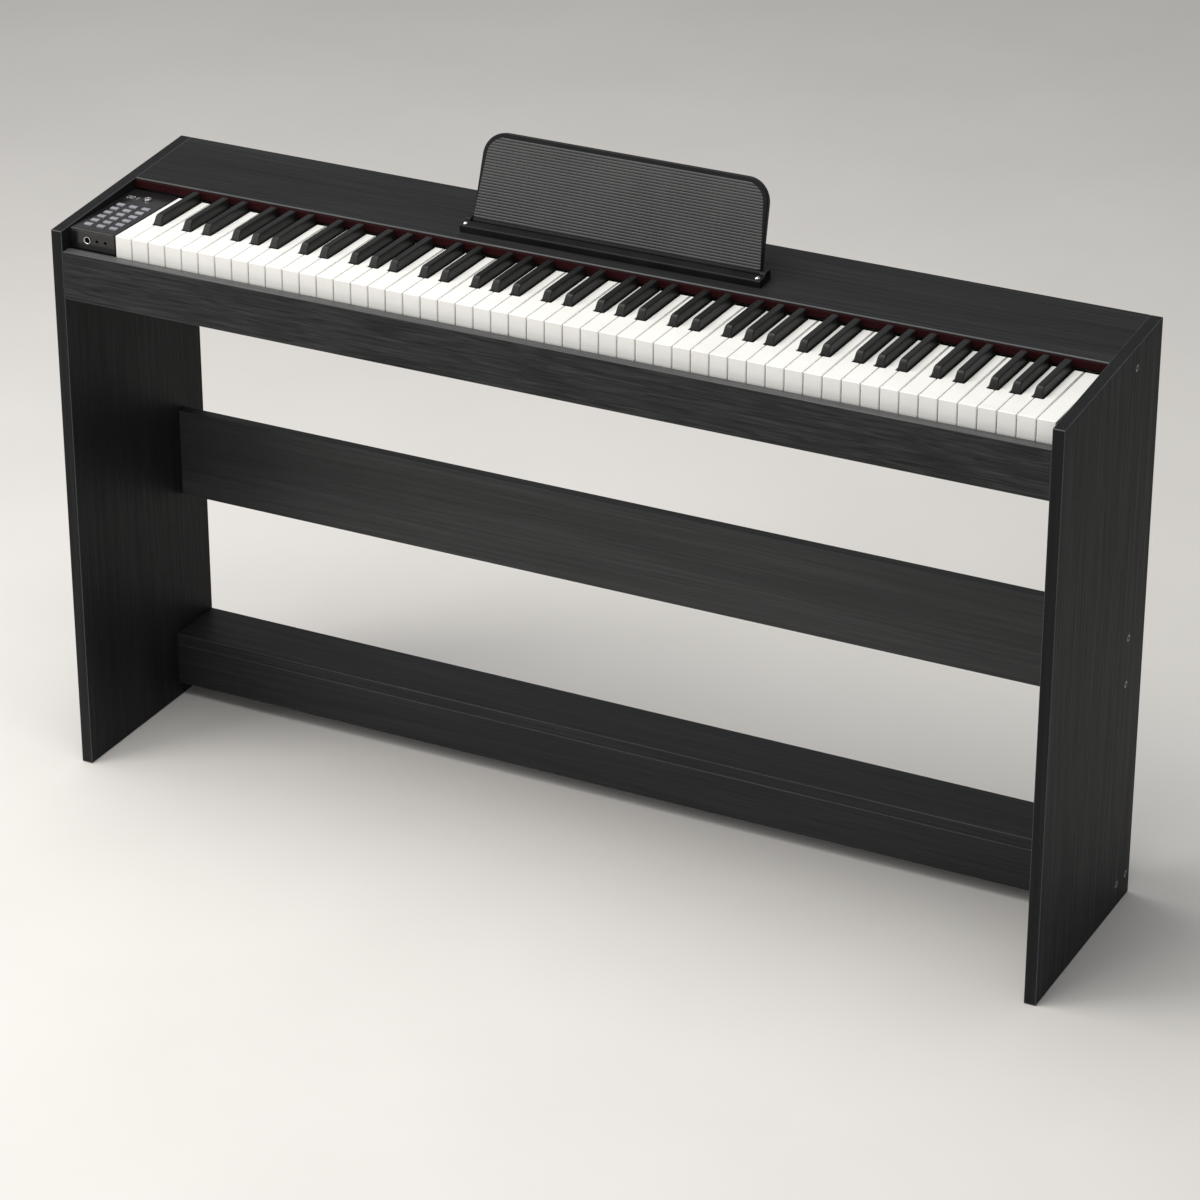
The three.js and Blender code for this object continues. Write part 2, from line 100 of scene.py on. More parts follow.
def add_piece(name, shells, material, body="stand", replaces=(), crease=40, edge=None, top=None):
    """Puts closed shells into one mesh: metres = millimetres / 1000, with y moved back by half the
    depth. edge is a finish for the faces that stand askew, which are the rounded edges, and top is
    one for the faces that look up. Both are given lighter finishes, which paint highlights on those faces."""
    verts, faces, start = [], [], 0
    for points, polygons in shells:
        points = np.asarray(points, float)
        verts.append(points)
        faces += [tuple(i + start for i in f) for f in outward(points, polygons)]
        start += len(points)
    metres = (np.concatenate(verts) - (0, DEPTH / 2, 0)) / 1000
    mesh = bpy.data.meshes.new(name)
    mesh.from_pydata(metres.tolist(), [], faces)
    mesh.polygons.foreach_set("use_smooth", np.ones(len(mesh.polygons), bool))
    mesh.set_sharp_from_angle(angle=math.radians(crease))
    obj = bpy.data.objects.new(name, mesh)
    bpy.context.scene.collection.objects.link(obj)
    even = obj.modifiers.new("Even shading", "WEIGHTED_NORMAL")
    even.keep_sharp = True
    finish_object(obj, material, body, replaces)
    if edge:
        normals = np.empty(len(mesh.polygons) * 3)
        mesh.polygons.foreach_get("normal", normals)
        normals = normals.reshape(-1, 3)
        index = (np.abs(normals).max(1) < SQUARE_ON).astype(np.int32)
        mesh.materials.append(edge)
        if top:
            mesh.materials.append(top)
            index[normals[:, 2] > LOOKS_UP] = 2
        mesh.polygons.foreach_set("material_index", index)
    return obj


print("helpers ready")

# %% [markdown]
# Two shapes make nearly everything on a piano stand.
#
# A loft joins rings of points, each with the same number of points, and closes
# both ends. Turned parts, keys and rounded bars are lofts.
#
# A plate is a flat outline with a thickness, maybe with holes in it. Its edge is
# a path: how far in from the outline each ring lies, and how high. A quarter
# circle in that path gives the small rounding that every real edge has, and it is
# what catches the light. Extruding and adding a Bevel modifier would also do, but
# a bevel gets into trouble where small holes crowd together.

# %% Outlines, edges, lofts and plates
def rounded(points, radii, steps=3):
    """Each corner becomes an arc: it starts r / tan(half the corner) before the corner, and turns about
    a centre on the bisector."""
    points = np.asarray(points, float)
    radii = np.broadcast_to(radii, len(points))
    out = []
    for i, p in enumerate(points):
        a, b = points[i - 1] - p, points[(i + 1) % len(points)] - p
        la, lb = np.linalg.norm(a), np.linalg.norm(b)
        a, b = a / la, b / lb
        half = math.acos(np.clip(a @ b, -1, 1)) / 2
        r = min(radii[i], 0.45 * min(la, lb) * math.tan(half))
        if r < 1e-3 or half > 1.56:
            out.append(p[None])
            continue
        centre = p + (a + b) / np.linalg.norm(a + b) * r / math.sin(half)
        first, last = p + a * r / math.tan(half) - centre, p + b * r / math.tan(half) - centre
        turn = math.atan2(first[0] * last[1] - first[1] * last[0], first @ last)
        t = np.linspace(0, turn, steps + 1)[:, None]
        side = np.array([-first[1], first[0]])
        out.append(centre + first * np.cos(t) + side * np.sin(t))
    return np.concatenate(out)


def inset(outline, distance):
    """Moves every side of an anticlockwise outline inwards by the same distance, with mitred corners."""
    before, after = outline - np.roll(outline, 1, 0), np.roll(outline, -1, 0) - outline
    normals = [np.stack([-d[:, 1], d[:, 0]], 1) / np.linalg.norm(d, axis=1)[:, None] for d in (before, after)]
    mitre = normals[0] + normals[1]
    return outline + distance * 2 * mitre / (mitre**2).sum(1)[:, None]


def edge_path(low, high, low_radius, high_radius, steps=3):
    """(inset, height) pairs up the wall of a plate: a quarter circle at each end. Inset = r - r sin(a),
    height = low + r - r cos(a)."""
    a = np.linspace(0, math.pi / 2, steps + 1)
    r, q = low_radius, high_radius
    start = np.stack([r - r * np.sin(a), low + r - r * np.cos(a)], 1) if r else np.array([[0, low]])
    end = np.stack([q - q * np.cos(a), high - q + q * np.sin(a)], 1) if q else np.array([[0, high]])
    return np.concatenate([start, end])


def quads(rings, count, start=0, closed=False):
    """Four-sided faces between each ring and the next: (j, i), (j, i+1), (j+1, i+1), (j+1, i)."""
    j, i = np.meshgrid(np.arange(rings if closed else rings - 1), np.arange(count), indexing="ij")
    k, m = (i + 1) % count, (j + 1) % rings
    f = np.stack([j * count + i, j * count + k, m * count + k, m * count + i], -1).reshape(-1, 4)
    return [tuple(q) for q in (f + start).tolist()]


def loft(rings):
    """Rings (number, points, 3) joined side by side, with a flat face at each end."""
    rings = np.asarray(rings, float)
    k, n = rings.shape[:2]
    ends = [tuple(range(n - 1, -1, -1)), tuple(range((k - 1) * n, k * n))]
    return rings.reshape(-1, 3), quads(k, n) + ends


def plate(outline, path, holes=(), plane="xy"):
    """A flat outline carried up its edge path. Holes are (outline, path) pairs, and the flat faces are
    triangles between the rings."""
    verts, faces, start, caps = [], [], 0, ([], [])
    for sign, (ring, steps) in [(1, (outline, path))] + [(-1, h) for h in holes]:
        ring = np.asarray(ring, float)
        levels = np.array([np.c_[inset(ring, d), np.full(len(ring), w)] for d, w in steps])
        if sign < 0:
            levels = levels[:, ::-1]
        k, n = levels.shape[:2]
        verts.append(levels.reshape(-1, 3))
        faces += quads(k, n, start)
        caps[0].append((levels[0], start))
        caps[1].append((levels[-1], start + (k - 1) * n))
        start += k * n
    for rings, up in zip(caps, (False, True)):
        names = np.concatenate([np.arange(len(r)) + s for r, s in rings])
        flat = np.concatenate([r for r, _ in rings])
        for t in tessellate_polygon([[Vector((x, y, 0)) for x, y, _ in r] for r, _ in rings]):
            (x0, y0), (x1, y1), (x2, y2) = flat[list(t), :2]
            turn = (x1 - x0) * (y2 - y0) - (x2 - x0) * (y1 - y0)
            if abs(turn) > 1e-9:
                face = names[list(t)].tolist()
                faces.append(tuple(face if (turn > 0) == up else face[::-1]))
    order = {"xy": (0, 1, 2), "yz": (2, 0, 1), "xz": (0, 2, 1)}[plane]
    return np.concatenate(verts)[:, order], faces


def box_outline(x0, x1, y0, y1, radius=1.0, steps=3):
    """A rectangle with its corners rounded, anticlockwise."""
    return rounded([(x0, y0), (x1, y0), (x1, y1), (x0, y1)], radius, steps)


def circle(x, y, r, n=24):
    """Points x + r cos(a), y + r sin(a)."""
    a = np.linspace(0, 2 * math.pi, n, endpoint=False)
    return np.stack([x + r * np.cos(a), y + r * np.sin(a)], 1)


def swept_round(profile, n, centre, axis, shape=None):
    """Each (radius, height) becomes a ring (radius cos(a), radius sin(a), height), and its axis is then
    laid along x, y or z."""
    profile = np.asarray(profile, float)
    a = np.linspace(0, 2 * math.pi, n, endpoint=False)
    radius = np.repeat(profile[:, :1], n, 1)
    if shape:
        radius = np.array([shape(r, a, level) for level, r in enumerate(radius)])
    p = np.stack([radius * np.cos(a), radius * np.sin(a), np.repeat(profile[:, 1:], n, 1)], -1)
    order = {"z": (0, 1, 2), "x": (2, 0, 1), "y": (1, 2, 0)}[axis]
    return p[..., order] + np.array(centre)


def turned(profile, n=32, centre=(0, 0, 0), axis="z", shape=None):
    """A profile turned into a solid with flat ends. shape(radii, angles, level) can reshape a ring."""
    return loft(swept_round(profile, n, centre, axis, shape))


print("a plate's edge path:", edge_path(0, 15, 0.8, 0.8).round(2).tolist()[:4], "...")

# %% [markdown]
# Materials are built from nodes. Wiring them by hand in the editor works, but the
# same few nodes come back in every finish: a place to read, noise, a ramp that
# turns a number into a colour, and a bump. One short function makes each of them.

# %% A small kit for material nodes
def new_material(name, **values):
    """A Principled material. Values are set straight on the shader's own sockets."""
    material = bpy.data.materials.new(name)
    material.use_nodes = True
    shader = material.node_tree.nodes["Principled BSDF"]
    for socket, value in values.items():
        shader.inputs[socket.replace("_", " ")].default_value = value
    return material, shader


def node(material, kind, inputs=(), **settings):
    """Adds a node. Inputs maps a socket to a value or to another node's output."""
    made = material.node_tree.nodes.new(kind)
    for key, value in settings.items():
        setattr(made, key, value)
    for key, value in dict(inputs).items():
        if isinstance(value, bpy.types.NodeSocket):
            material.node_tree.links.new(value, made.inputs[key])
        else:
            made.inputs[key].default_value = value
    return made


def stretched(material, scale, turn=(0, 0, 0)):
    """Object coordinates times a scale for each direction: a small scale draws the pattern out."""
    where = node(material, "ShaderNodeTexCoord").outputs["Object"]
    return node(material, "ShaderNodeMapping",
                {"Vector": where, "Scale": scale, "Rotation": turn}).outputs[0]


def noise(material, vector, scale, detail=4, rough=0.55, distortion=0.0):
    """Fractal noise from 0 to 1, mostly near a half."""
    return node(material, "ShaderNodeTexNoise", {"Vector": vector, "Scale": scale, "Detail": detail,
                "Roughness": rough, "Distortion": distortion}).outputs["Fac"]


def ramp(material, value, stops):
    """Turns a number into a colour or a grey through a list of (place, colour)."""
    made = node(material, "ShaderNodeValToRGB", {"Fac": value})
    band = made.color_ramp
    while len(band.elements) < len(stops):
        band.elements.new(0.5)
    for element, (place, colour) in zip(band.elements, stops):
        element.position = place
        element.color = (*colour, 1) if len(colour) == 3 else (colour[0],) * 3 + (1,)
    return made.outputs["Color"]


def relief(material, shader, height, strength, distance, under=None):
    """A bump: distance is how deep the pattern is in metres."""
    inputs = {"Height": height, "Strength": strength, "Distance": distance}
    if under is not None:
        inputs["Normal"] = under
    bump = node(material, "ShaderNodeBump", inputs)
    material.node_tree.links.new(bump.outputs["Normal"], shader.inputs["Normal"])
    return bump.outputs["Normal"]


def join(material, value, shader, socket):
    """Leads a node's output into one of the shader's sockets."""
    material.node_tree.links.new(value, shader.inputs[socket])


print("material kit ready")

# %% [markdown]
# The boards are chipboard wrapped in a black foil that is embossed with wood
# grain. The grain is hardly a colour at all: it is a relief of long shallow
# grooves, and a slight change of gloss, that shows when light skims across it.
# A picture of wood could be wrapped round each board, but noise stretched ten to
# seventy times along one direction gives the same streaks at any size and on any
# side of a board.
# On the side panels the grain runs upright, and on the boards it runs lengthways.
# The stretcher's copy of the foil is painted lighter, for light thrown up from the floor;
# the key slip's streaks are partly painted highlights; and the two edge finishes are
# the foil painted lighter as highlights.

# %% The black wood-grain foil
FOIL_DARK, FOIL_LIGHT = (0.0095, 0.010, 0.0105), (0.027, 0.0275, 0.029)


def laminate(name, along, dark=FOIL_DARK, light=FOIL_LIGHT, shine=0.14, coarse=0.0):
    """Streaks = noise stretched along the grain. Broad figure and fine pores are added, then set colour,
    gloss and depth. coarse mixes in the long streaks of the key slip, which are partly grain and partly
    painted highlights of light skimming along it."""
    material, shader = new_material(name, Roughness=0.45, IOR=1.48, Specular_IOR_Level=shine)

    def along_grain(lengthways, across, detail, rough, distortion=0.0):
        scale = tuple(lengthways if i == along else across for i in range(3))
        return noise(material, stretched(material, scale), 1.0, detail, rough, distortion)

    def blend(share, first, second):
        inputs = {"Factor": share, "A": first, "B": second}
        return node(material, "ShaderNodeMix", inputs, data_type="FLOAT").outputs["Result"]

    figure = along_grain(1.56, 17.0, 5, 0.6, 0.7)
    streak = along_grain(4.8, 322.0, 6, 0.7, 0.3)
    pore = along_grain(34.0, 900.0, 2, 0.5)
    tone = blend(0.6, figure, streak)
    if coarse:
        tone = blend(coarse, tone, along_grain(14.0, 260.0, 3, 0.6, 0.9))
    middle = tuple((a + b) / 2.3 for a, b in zip(dark, light))
    join(material, ramp(material, tone, [(0.33, dark), (0.5, middle), (0.68, light)]), shader, "Base Color")
    join(material, ramp(material, streak, [(0.3, (0.58,)), (0.7, (0.40,))]), shader, "Roughness")
    pits = ramp(material, pore, [(0.3, (0.0,)), (0.42, (1.0,))])
    first = relief(material, shader, streak, 0.55, 0.0005)
    relief(material, shader, pits, 0.35, 0.00025, first)
    return material


LAMINATE_LONG = laminate("Black wood grain lengthways", 0, shine=0.24)
LAMINATE_TOP = laminate("Black wood grain top", 0, shine=0.11)
LAMINATE_UPRIGHT = laminate("Black wood grain upright", 2, (0.010, 0.0104, 0.0108),
                            (0.021, 0.0215, 0.0225), 0.08)
# The key slip's copy has streaks lighter and darker than the foil: partly grain, partly painted highlights.
LAMINATE_KEY_SLIP_PAINTED_STREAKS = laminate("Black wood grain key slip with painted highlights", 0, (0.006, 0.0062, 0.0066),
                          (0.044, 0.0445, 0.046), coarse=0.65)
# The stretcher's copy is lighter than the foil: painted light, for the light thrown up from the floor.
LAMINATE_PAINTED_LIGHTER = laminate("Black wood grain stretcher painted lighter", 0, (0.019, 0.0195, 0.0205),
                         (0.047, 0.0475, 0.049), 0.34)
# The two edge finishes are the foil made lighter: painted highlights on rounded edges, hole chamfers and the
# key slip's top.
EDGE_PAINTED_HIGHLIGHT = laminate("Foil on edges with painted highlight", 0, (0.028, 0.029, 0.031), (0.060, 0.061, 0.064), 0.5)
EDGE_BAND_PAINTED_HIGHLIGHT = laminate("Edge band with painted highlight", 0, (0.032, 0.033, 0.034), (0.085, 0.086, 0.088), 0.5)
print("five rolls of the same foil, and two edge finishes")

# %% [markdown]
# Plastics differ mostly in gloss and in the texture of the mould that they came
# out of. The white keys are a hard, slightly warm white with a clear shine. The
# black keys come from a spark-eroded mould, so they are satin, with a grain too
# fine to see one by one. The control block is shiny black. The music rest is satin
# black, with ribs of a softer dark grey. Each gets faint cloudiness in its gloss, because moulded and
# handled plastic never shines evenly, and a light orange-peel relief.

# %% Plastics
def plastic(name, dark, light, rough, grain=(900.0, 0.00002), cloud=22.0, **more):
    """Base colour drifts between two near tones, roughness drifts by a few hundredths, and fine noise
    gives the mould texture."""
    material, shader = new_material(name, **more)
    plain = stretched(material, (1, 1, 1))
    drift = noise(material, plain, cloud, 3)
    join(material, ramp(material, drift, [(0.35, dark), (0.65, light)]), shader, "Base Color")
    join(material, ramp(material, drift, [(0.3, (rough[0],)), (0.7, (rough[1],))]), shader, "Roughness")
    relief(material, shader, noise(material, plain, grain[0], 2), 0.5, grain[1])
    return material


WHITE_KEY = plastic("White key plastic", (0.83, 0.825, 0.79), (0.87, 0.865, 0.835), (0.2, 0.27),
                    (260.0, 0.000015), IOR=1.5, Coat_Weight=0.25, Coat_Roughness=0.12)
BLACK_KEY = plastic("Black key plastic", (0.006, 0.0062, 0.006), (0.010, 0.0103, 0.010), (0.38, 0.46),
                    (1500.0, 0.00004), IOR=1.5, Specular_IOR_Level=0.28)
GLOSS_BLACK = plastic("Shiny black plastic", (0.008, 0.008, 0.009), (0.012, 0.012, 0.013), (0.18, 0.26),
                      (180.0, 0.000012), IOR=1.5, Specular_IOR_Level=0.4, Coat_Weight=0.2,
                      Coat_Roughness=0.08)
SATIN_BLACK = plastic("Satin black plastic", (0.005, 0.005, 0.0054), (0.008, 0.008, 0.0084), (0.42, 0.52),
                      (1300.0, 0.00004), IOR=1.48, Specular_IOR_Level=0.18)
REST_GREY = plastic("Dark grey rest plastic", (0.036, 0.036, 0.037), (0.047, 0.047, 0.048), (0.42, 0.52),
                    (1400.0, 0.00004), IOR=1.48)
SILICONE = plastic("Silver grey silicone", (0.20, 0.20, 0.225), (0.25, 0.25, 0.28), (0.45, 0.55),
                   (700.0, 0.00003), IOR=1.42, Sheen_Weight=0.15, Sheen_Roughness=0.5)
RUBBER = plastic("Black rubber", (0.018, 0.018, 0.018), (0.027, 0.027, 0.027), (0.6, 0.72),
                 (900.0, 0.00006), IOR=1.5)
DARK_GLASS = plastic("Smoked display window", (0.012, 0.013, 0.016), (0.016, 0.017, 0.020), (0.05, 0.09),
                     (60.0, 0.000004), IOR=1.52)
# The display's lit segments are painted pale instead of glowing: painted light.
LIT_SEGMENTS_PAINTED = plastic("Lit segments painted pale", (0.42, 0.43, 0.44), (0.50, 0.51, 0.52), (0.35, 0.45), IOR=1.45)
print("plastics ready")

# %% [markdown]
# Metals: bright nickel on the sockets, the power button and the ledge's screws,
# black oxide on the other screws, zinc-plated sheet under the keys. Zinc plating
# shows a patchwork of crystals, which a Voronoi pattern gives. Turned parts have
# rings and brushed ones have lines, but at a few millimetres across only an uneven
# gloss is left.
# The felt is a strip of pressed wool: no weave, only short fibres lying every way. Its red is painted nearly
# black as shade.
# The circuit boards are glass fibre with a weave of threads under green lacquer.

# %% Metals, felt, card and circuit board
def metal(name, colour, rough, wear=0.0, **more):
    """Colour and gloss drift together, and wear deepens the dark patches."""
    material, shader = new_material(name, Metallic=1.0, **more)
    plain = stretched(material, (1, 1, 1))
    drift = noise(material, plain, 420.0, 4)
    low = tuple(c * (1 - 0.18 - wear) for c in colour)
    join(material, ramp(material, drift, [(0.3, low), (0.7, colour)]), shader, "Base Color")
    join(material, ramp(material, drift, [(0.3, (rough[0],)), (0.7, (rough[1],))]), shader, "Roughness")
    relief(material, shader, noise(material, plain, 1600.0, 2), 0.4, 0.00002)
    return material


NICKEL = metal("Bright nickel", (0.72, 0.71, 0.69), (0.16, 0.28))
BLACK_OXIDE = metal("Black oxide steel", (0.24, 0.24, 0.25), (0.22, 0.36), 0.2)


def zinc_sheet():
    """Each Voronoi cell is one crystal of zinc, with its own brightness and gloss."""
    material, shader = new_material("Zinc plated sheet", Metallic=1.0)
    plain = stretched(material, (1, 1, 1))
    cells = node(material, "ShaderNodeTexVoronoi", {"Vector": plain, "Scale": 120.0}).outputs["Color"]
    join(material, ramp(material, cells, [(0.2, (0.36, 0.37, 0.39)), (0.8, (0.55, 0.56, 0.58))]), shader,
         "Base Color")
    join(material, ramp(material, cells, [(0.2, (0.32,)), (0.8, (0.5,))]), shader, "Roughness")
    return material


def felt_cloth():
    """Two noises at different scales: tufts of about 2 mm, and single fibres much finer, in colour and in
    relief. The red is darkened almost to black: painted shade from the top board over the felt."""
    material, shader = new_material("Red felt painted dark with shade", Roughness=0.95, IOR=1.35, Specular_IOR_Level=0.2,
                                    Sheen_Weight=0.06, Sheen_Roughness=0.45, Sheen_Tint=(0.7, 0.2, 0.22, 1))
    plain = stretched(material, (1, 1, 1))
    tufts, fibres = noise(material, plain, 520.0, 4, 0.7), noise(material, plain, 2600.0, 3, 0.7, 1.2)
    halves = {"Factor": 0.5, "A": tufts, "B": fibres}
    mixed = node(material, "ShaderNodeMix", halves, data_type="FLOAT").outputs["Result"]
    join(material, ramp(material, mixed, [(0.32, (0.010, 0.0015, 0.002)), (0.7, (0.036, 0.005, 0.006))]),
         shader, "Base Color")
    relief(material, shader, mixed, 0.9, 0.0006)
    return material


def circuit_board():
    """A weave: the product of two fine waves at right angles, under an even green lacquer."""
    material, shader = new_material("Green circuit board", Roughness=0.35, IOR=1.5, Coat_Weight=0.4)
    plain = stretched(material, (1, 1, 1))
    threads = {"Vector": plain, "Scale": 260.0}
    one, two = (node(material, "ShaderNodeTexWave", threads, bands_direction=way).outputs["Fac"]
                for way in "XY")
    weave = node(material, "ShaderNodeMath", {0: one, 1: two}, operation="MULTIPLY").outputs[0]
    join(material, ramp(material, weave, [(0.1, (0.010, 0.050, 0.024)), (0.9, (0.016, 0.085, 0.038))]),
         shader, "Base Color")
    relief(material, shader, weave, 0.3, 0.00003)
    return material


def cone_paper():
    """Pressed paper pulp: fibres are thin streaks of distorted noise."""
    material, shader = new_material("Speaker cone paper", Roughness=0.9)
    fibres = noise(material, stretched(material, (1, 1, 1)), 600.0, 5, 0.8, 2.5)
    join(material, ramp(material, fibres, [(0.35, (0.012, 0.012, 0.013)), (0.65, (0.034, 0.033, 0.032))]),
         shader, "Base Color")
    relief(material, shader, fibres, 0.6, 0.0001)
    return material


ZINC, FELT_PAINTED_SHADE, BOARD_GREEN, CONE_PAPER = zinc_sheet(), felt_cloth(), circuit_board(), cone_paper()
print(len(bpy.data.materials), "materials")

# %% [markdown]
# The boards. Each is 15 mm chipboard with its foil folded or glued round the
# edges, so an edge is crisp but never a knife edge: it is rounded by less than a
# millimetre. Boards that run between the panels are a rounded section in the y-z
# plane carried along x. The top board's section follows the slope of the panels,
# 24 mm over 300 mm.

# %% Boards that run from panel to panel
def long_board(name, section, replaces, material=LAMINATE_LONG, radius=EDGE, edge=EDGE_PAINTED_HIGHLIGHT, top=None):
    """The section's corners are rounded, and so are the board's ends, a little less."""
    shell = plate(rounded(section, radius), edge_path(-INNER, INNER, 0.4, 0.4, 2), plane="yz")
    return add_piece(name, [shell], material, replaces=replaces, edge=edge, top=top)


def rectangle(y0, y1, z0, z1):
    """Four corners in the y-z plane, anticlockwise."""
    return [(y0, z0), (y1, z0), (y1, z1), (y0, z1)]


def deck(y):
    """Height of the sloping top: front height + y tan(slope)."""
    return FRONT_HEIGHT + y * math.tan(SLOPE)


DECK_FRONT = 169.0
top_section = [(DECK_FRONT, deck(DECK_FRONT) - BOARD), (BACK, deck(BACK) - BOARD),
               (BACK, deck(BACK)), (DECK_FRONT, deck(DECK_FRONT))]
# The top board's front edge gets the lighter edge band, a painted highlight.
long_board("board_top", top_section, ["top_board"], LAMINATE_TOP, [EDGE, EDGE, EDGE, 1.6], EDGE_BAND_PAINTED_HIGHLIGHT)
# The key slip's top faces get the lighter edge band, a painted highlight.
long_board("board_key_slip", rectangle(0.5, BOARD, BED_LOW, 707), ["fascia_board"], LAMINATE_KEY_SLIP_PAINTED_STREAKS,
           top=EDGE_BAND_PAINTED_HIGHLIGHT)
# The stretcher gets the foil painted lighter, as painted bounce light from the floor.
long_board("board_stretcher", rectangle(241, 256, 283, 402), ["mid_stretcher"], LAMINATE_PAINTED_LIGHTER)
long_board("board_beam_top", rectangle(212, BACK, 77, 92), ["lower_beam_top"])
long_board("board_beam_front", rectangle(212, 227, 20, 76.7), ["lower_beam_front"])
long_board("board_beam_bottom", rectangle(227.3, BACK, 23, 38), ["lower_beam_bottom"])
long_board("batten_top", rectangle(215, 231, 718, 735), ["top_batten"])
print("seven long boards,", round(2 * INNER), "mm each")

# %% [markdown]
# The side panels are drilled for five screws each. A hole's wall is a path too:
# wide for the screw's head, a step, and then narrow for its shaft. The panel lies
# in the y-z plane, so its flat faces are cut to triangles around the holes.

# %% Side panels
SCREWS = {"top": (223, 722.5), "stretcher_upper": (248.5, 369), "stretcher_lower": (248.5, 307.5),
          "beam_front": (258, 30.5), "beam_back": (288, 30.5)}


def side_panel(name, side, node_name):
    """Outline: foot 300 mm deep, 757 mm high at the back and 733 mm in front. Holes: wide enough for
    the head to 2.9 mm deep, then for the shaft."""
    outline = rounded([(0, 0), (DEPTH, 0), (DEPTH, BACK_HEIGHT), (0, FRONT_HEIGHT)], [1, 1, 1.2, 1.2])
    step = OUTSIDE - 2.9
    wall = [(2.25, INSIDE), (2.25, step), (0, step), (0, OUTSIDE - 0.4), (-0.4, OUTSIDE)]
    holes = [(circle(y, z, 5.05), wall) for y, z in SCREWS.values()]
    points, faces = plate(outline, edge_path(INSIDE, OUTSIDE, EDGE, EDGE), holes, "yz")
    points[:, 0] *= side
    # The panel's rounded edges and hole chamfers get the lighter edge finish, a painted highlight.
    return add_piece(name, [(points, faces)], LAMINATE_UPRIGHT, replaces=[node_name],
                     edge=EDGE_PAINTED_HIGHLIGHT)


side_panel("panel_left", -1, "side_panel_left")
side_panel("panel_right", 1, "side_panel_right")
print("panels drilled for", len(SCREWS), "screws each")

# %% [markdown]
# The keybed is the shelf under the keys, with an oval mouth below each speaker.
# The rear panel closes the back and has a window for the sockets. Both are plates
# with holes, one lying down and one standing.

# %% Keybed and rear panel
def oval(x, y, rx, ry, n=48):
    """x + rx cos(a), y + ry sin(a)."""
    a = np.linspace(0, 2 * math.pi, n, endpoint=False)
    return np.stack([x + rx * np.cos(a), y + ry * np.sin(a)], 1)


SPEAKER_X, SPEAKER_Y = 430, 152.5
mouth_wall = [(-0.8, BED_LOW), (0, BED_LOW + 0.8), (0, BED_HIGH)]
mouths = [(oval(x, SPEAKER_Y, 45.6, 24), mouth_wall) for x in (-SPEAKER_X, SPEAKER_X)]
keybed = plate(box_outline(-INNER, INNER, BOARD + GAP, REAR_FRONT - GAP),
               edge_path(BED_LOW, BED_HIGH, EDGE, EDGE), mouths)
add_piece("board_keybed", [keybed], LAMINATE_LONG, replaces=["keybed_board"])
window = (box_outline(-475.3, -364.7, 676.7, 703.3, 0.5), [(0, REAR_FRONT), (0, REAR_BACK)])
rear_top = deck(REAR_FRONT) - BOARD - GAP
rear = plate(box_outline(-INNER, INNER, BED_LOW, rear_top), edge_path(REAR_FRONT, REAR_BACK, 0.6, 0.6),
             [window], "xz")
add_piece("board_rear", [rear], LAMINATE_LONG, replaces=["rear_panel"])
print("keybed with two speaker mouths, rear panel", round(rear_top - BED_LOW), "mm high")

# %% [markdown]
# Furniture screws have a flat round head with a hexagon socket. The socket is
# made by letting the rings of a turned profile change from a circle to a hexagon
# on the way in. The distance from the centre to a hexagon's side at an angle a is
# apothem / cos(a folded into one sixth of a turn).

# %% Screws
def hexagon(apothem, a):
    """Distance from the centre to the side at angle a = apothem / cos(a folded into a sixth of a turn)."""
    return apothem / np.cos((a + math.pi / 6) % (math.pi / 3) - math.pi / 6)


def cross(reach, width, a):
    """A plus sign: near each arm's end the distance is reach / cos, elsewhere it is the arm's side,
    width / sin."""
    b = np.abs((a + math.pi / 4) % (math.pi / 2) - math.pi / 4)
    return np.minimum(reach / np.cos(b), np.maximum(width / np.maximum(np.sin(b), 1e-3), width * 1.3))


def recessed(recess, first):
    """Reshapes the rings of a turned profile from number first on, and leaves the others round."""
    return lambda radii, a, level: recess(radii[0], a) if level >= first else radii


SCREW_LENGTH = 42
HEX_PROFILE = [(2.1, 0), (2.5, 1), (2.5, 40), (4.5, 40), (4.75, 40.3), (4.75, 41.4), (4.55, 41.8),
               (4.1, SCREW_LENGTH), (2.6, SCREW_LENGTH), (2.3, 41.8), (2.2, 39.9)]


def hex_screw(place, side, y, z):
    """Shaft, head with a rounded rim, then the socket going back in, which is the last three rings."""
    socket = recessed(lambda radius, a: hexagon(radius * 0.87, a), len(HEX_PROFILE) - 3)
    points, faces = turned(HEX_PROFILE, 36, axis="x", shape=socket)
    points = points * (side, 1, 1) + (side * (OUTSIDE - GAP - SCREW_LENGTH), y, z)
    return add_piece("bolt_" + place, [(points, faces)], BLACK_OXIDE,
                     replaces=["screw_" + place], crease=35)


for place, (y, z) in SCREWS.items():
    for word, side in (("left", -1), ("right", 1)):
        hex_screw(f"{place}_{word}", side, y, z)
print("ten screws with hexagon sockets")

# %% [markdown]
# The keyboard. Fifty-two white keys share 1222 mm, so each is 23.5 mm wide. A
# black key sits in a slot of 13.7 mm, and what the slots leave is shared evenly
# among the white keys' narrow tails: three in the group C D E, and four in F G A
# B. That is why the notches of real keys are not all alike.

# %% Where each key goes
PITCH, SLOT = 23.5, 13.7
KEYS_RIGHT = 642.5
KEYS_LEFT = KEYS_RIGHT - 52 * PITCH
HEAD_BACK, TAIL_END = 70.0, 162.4


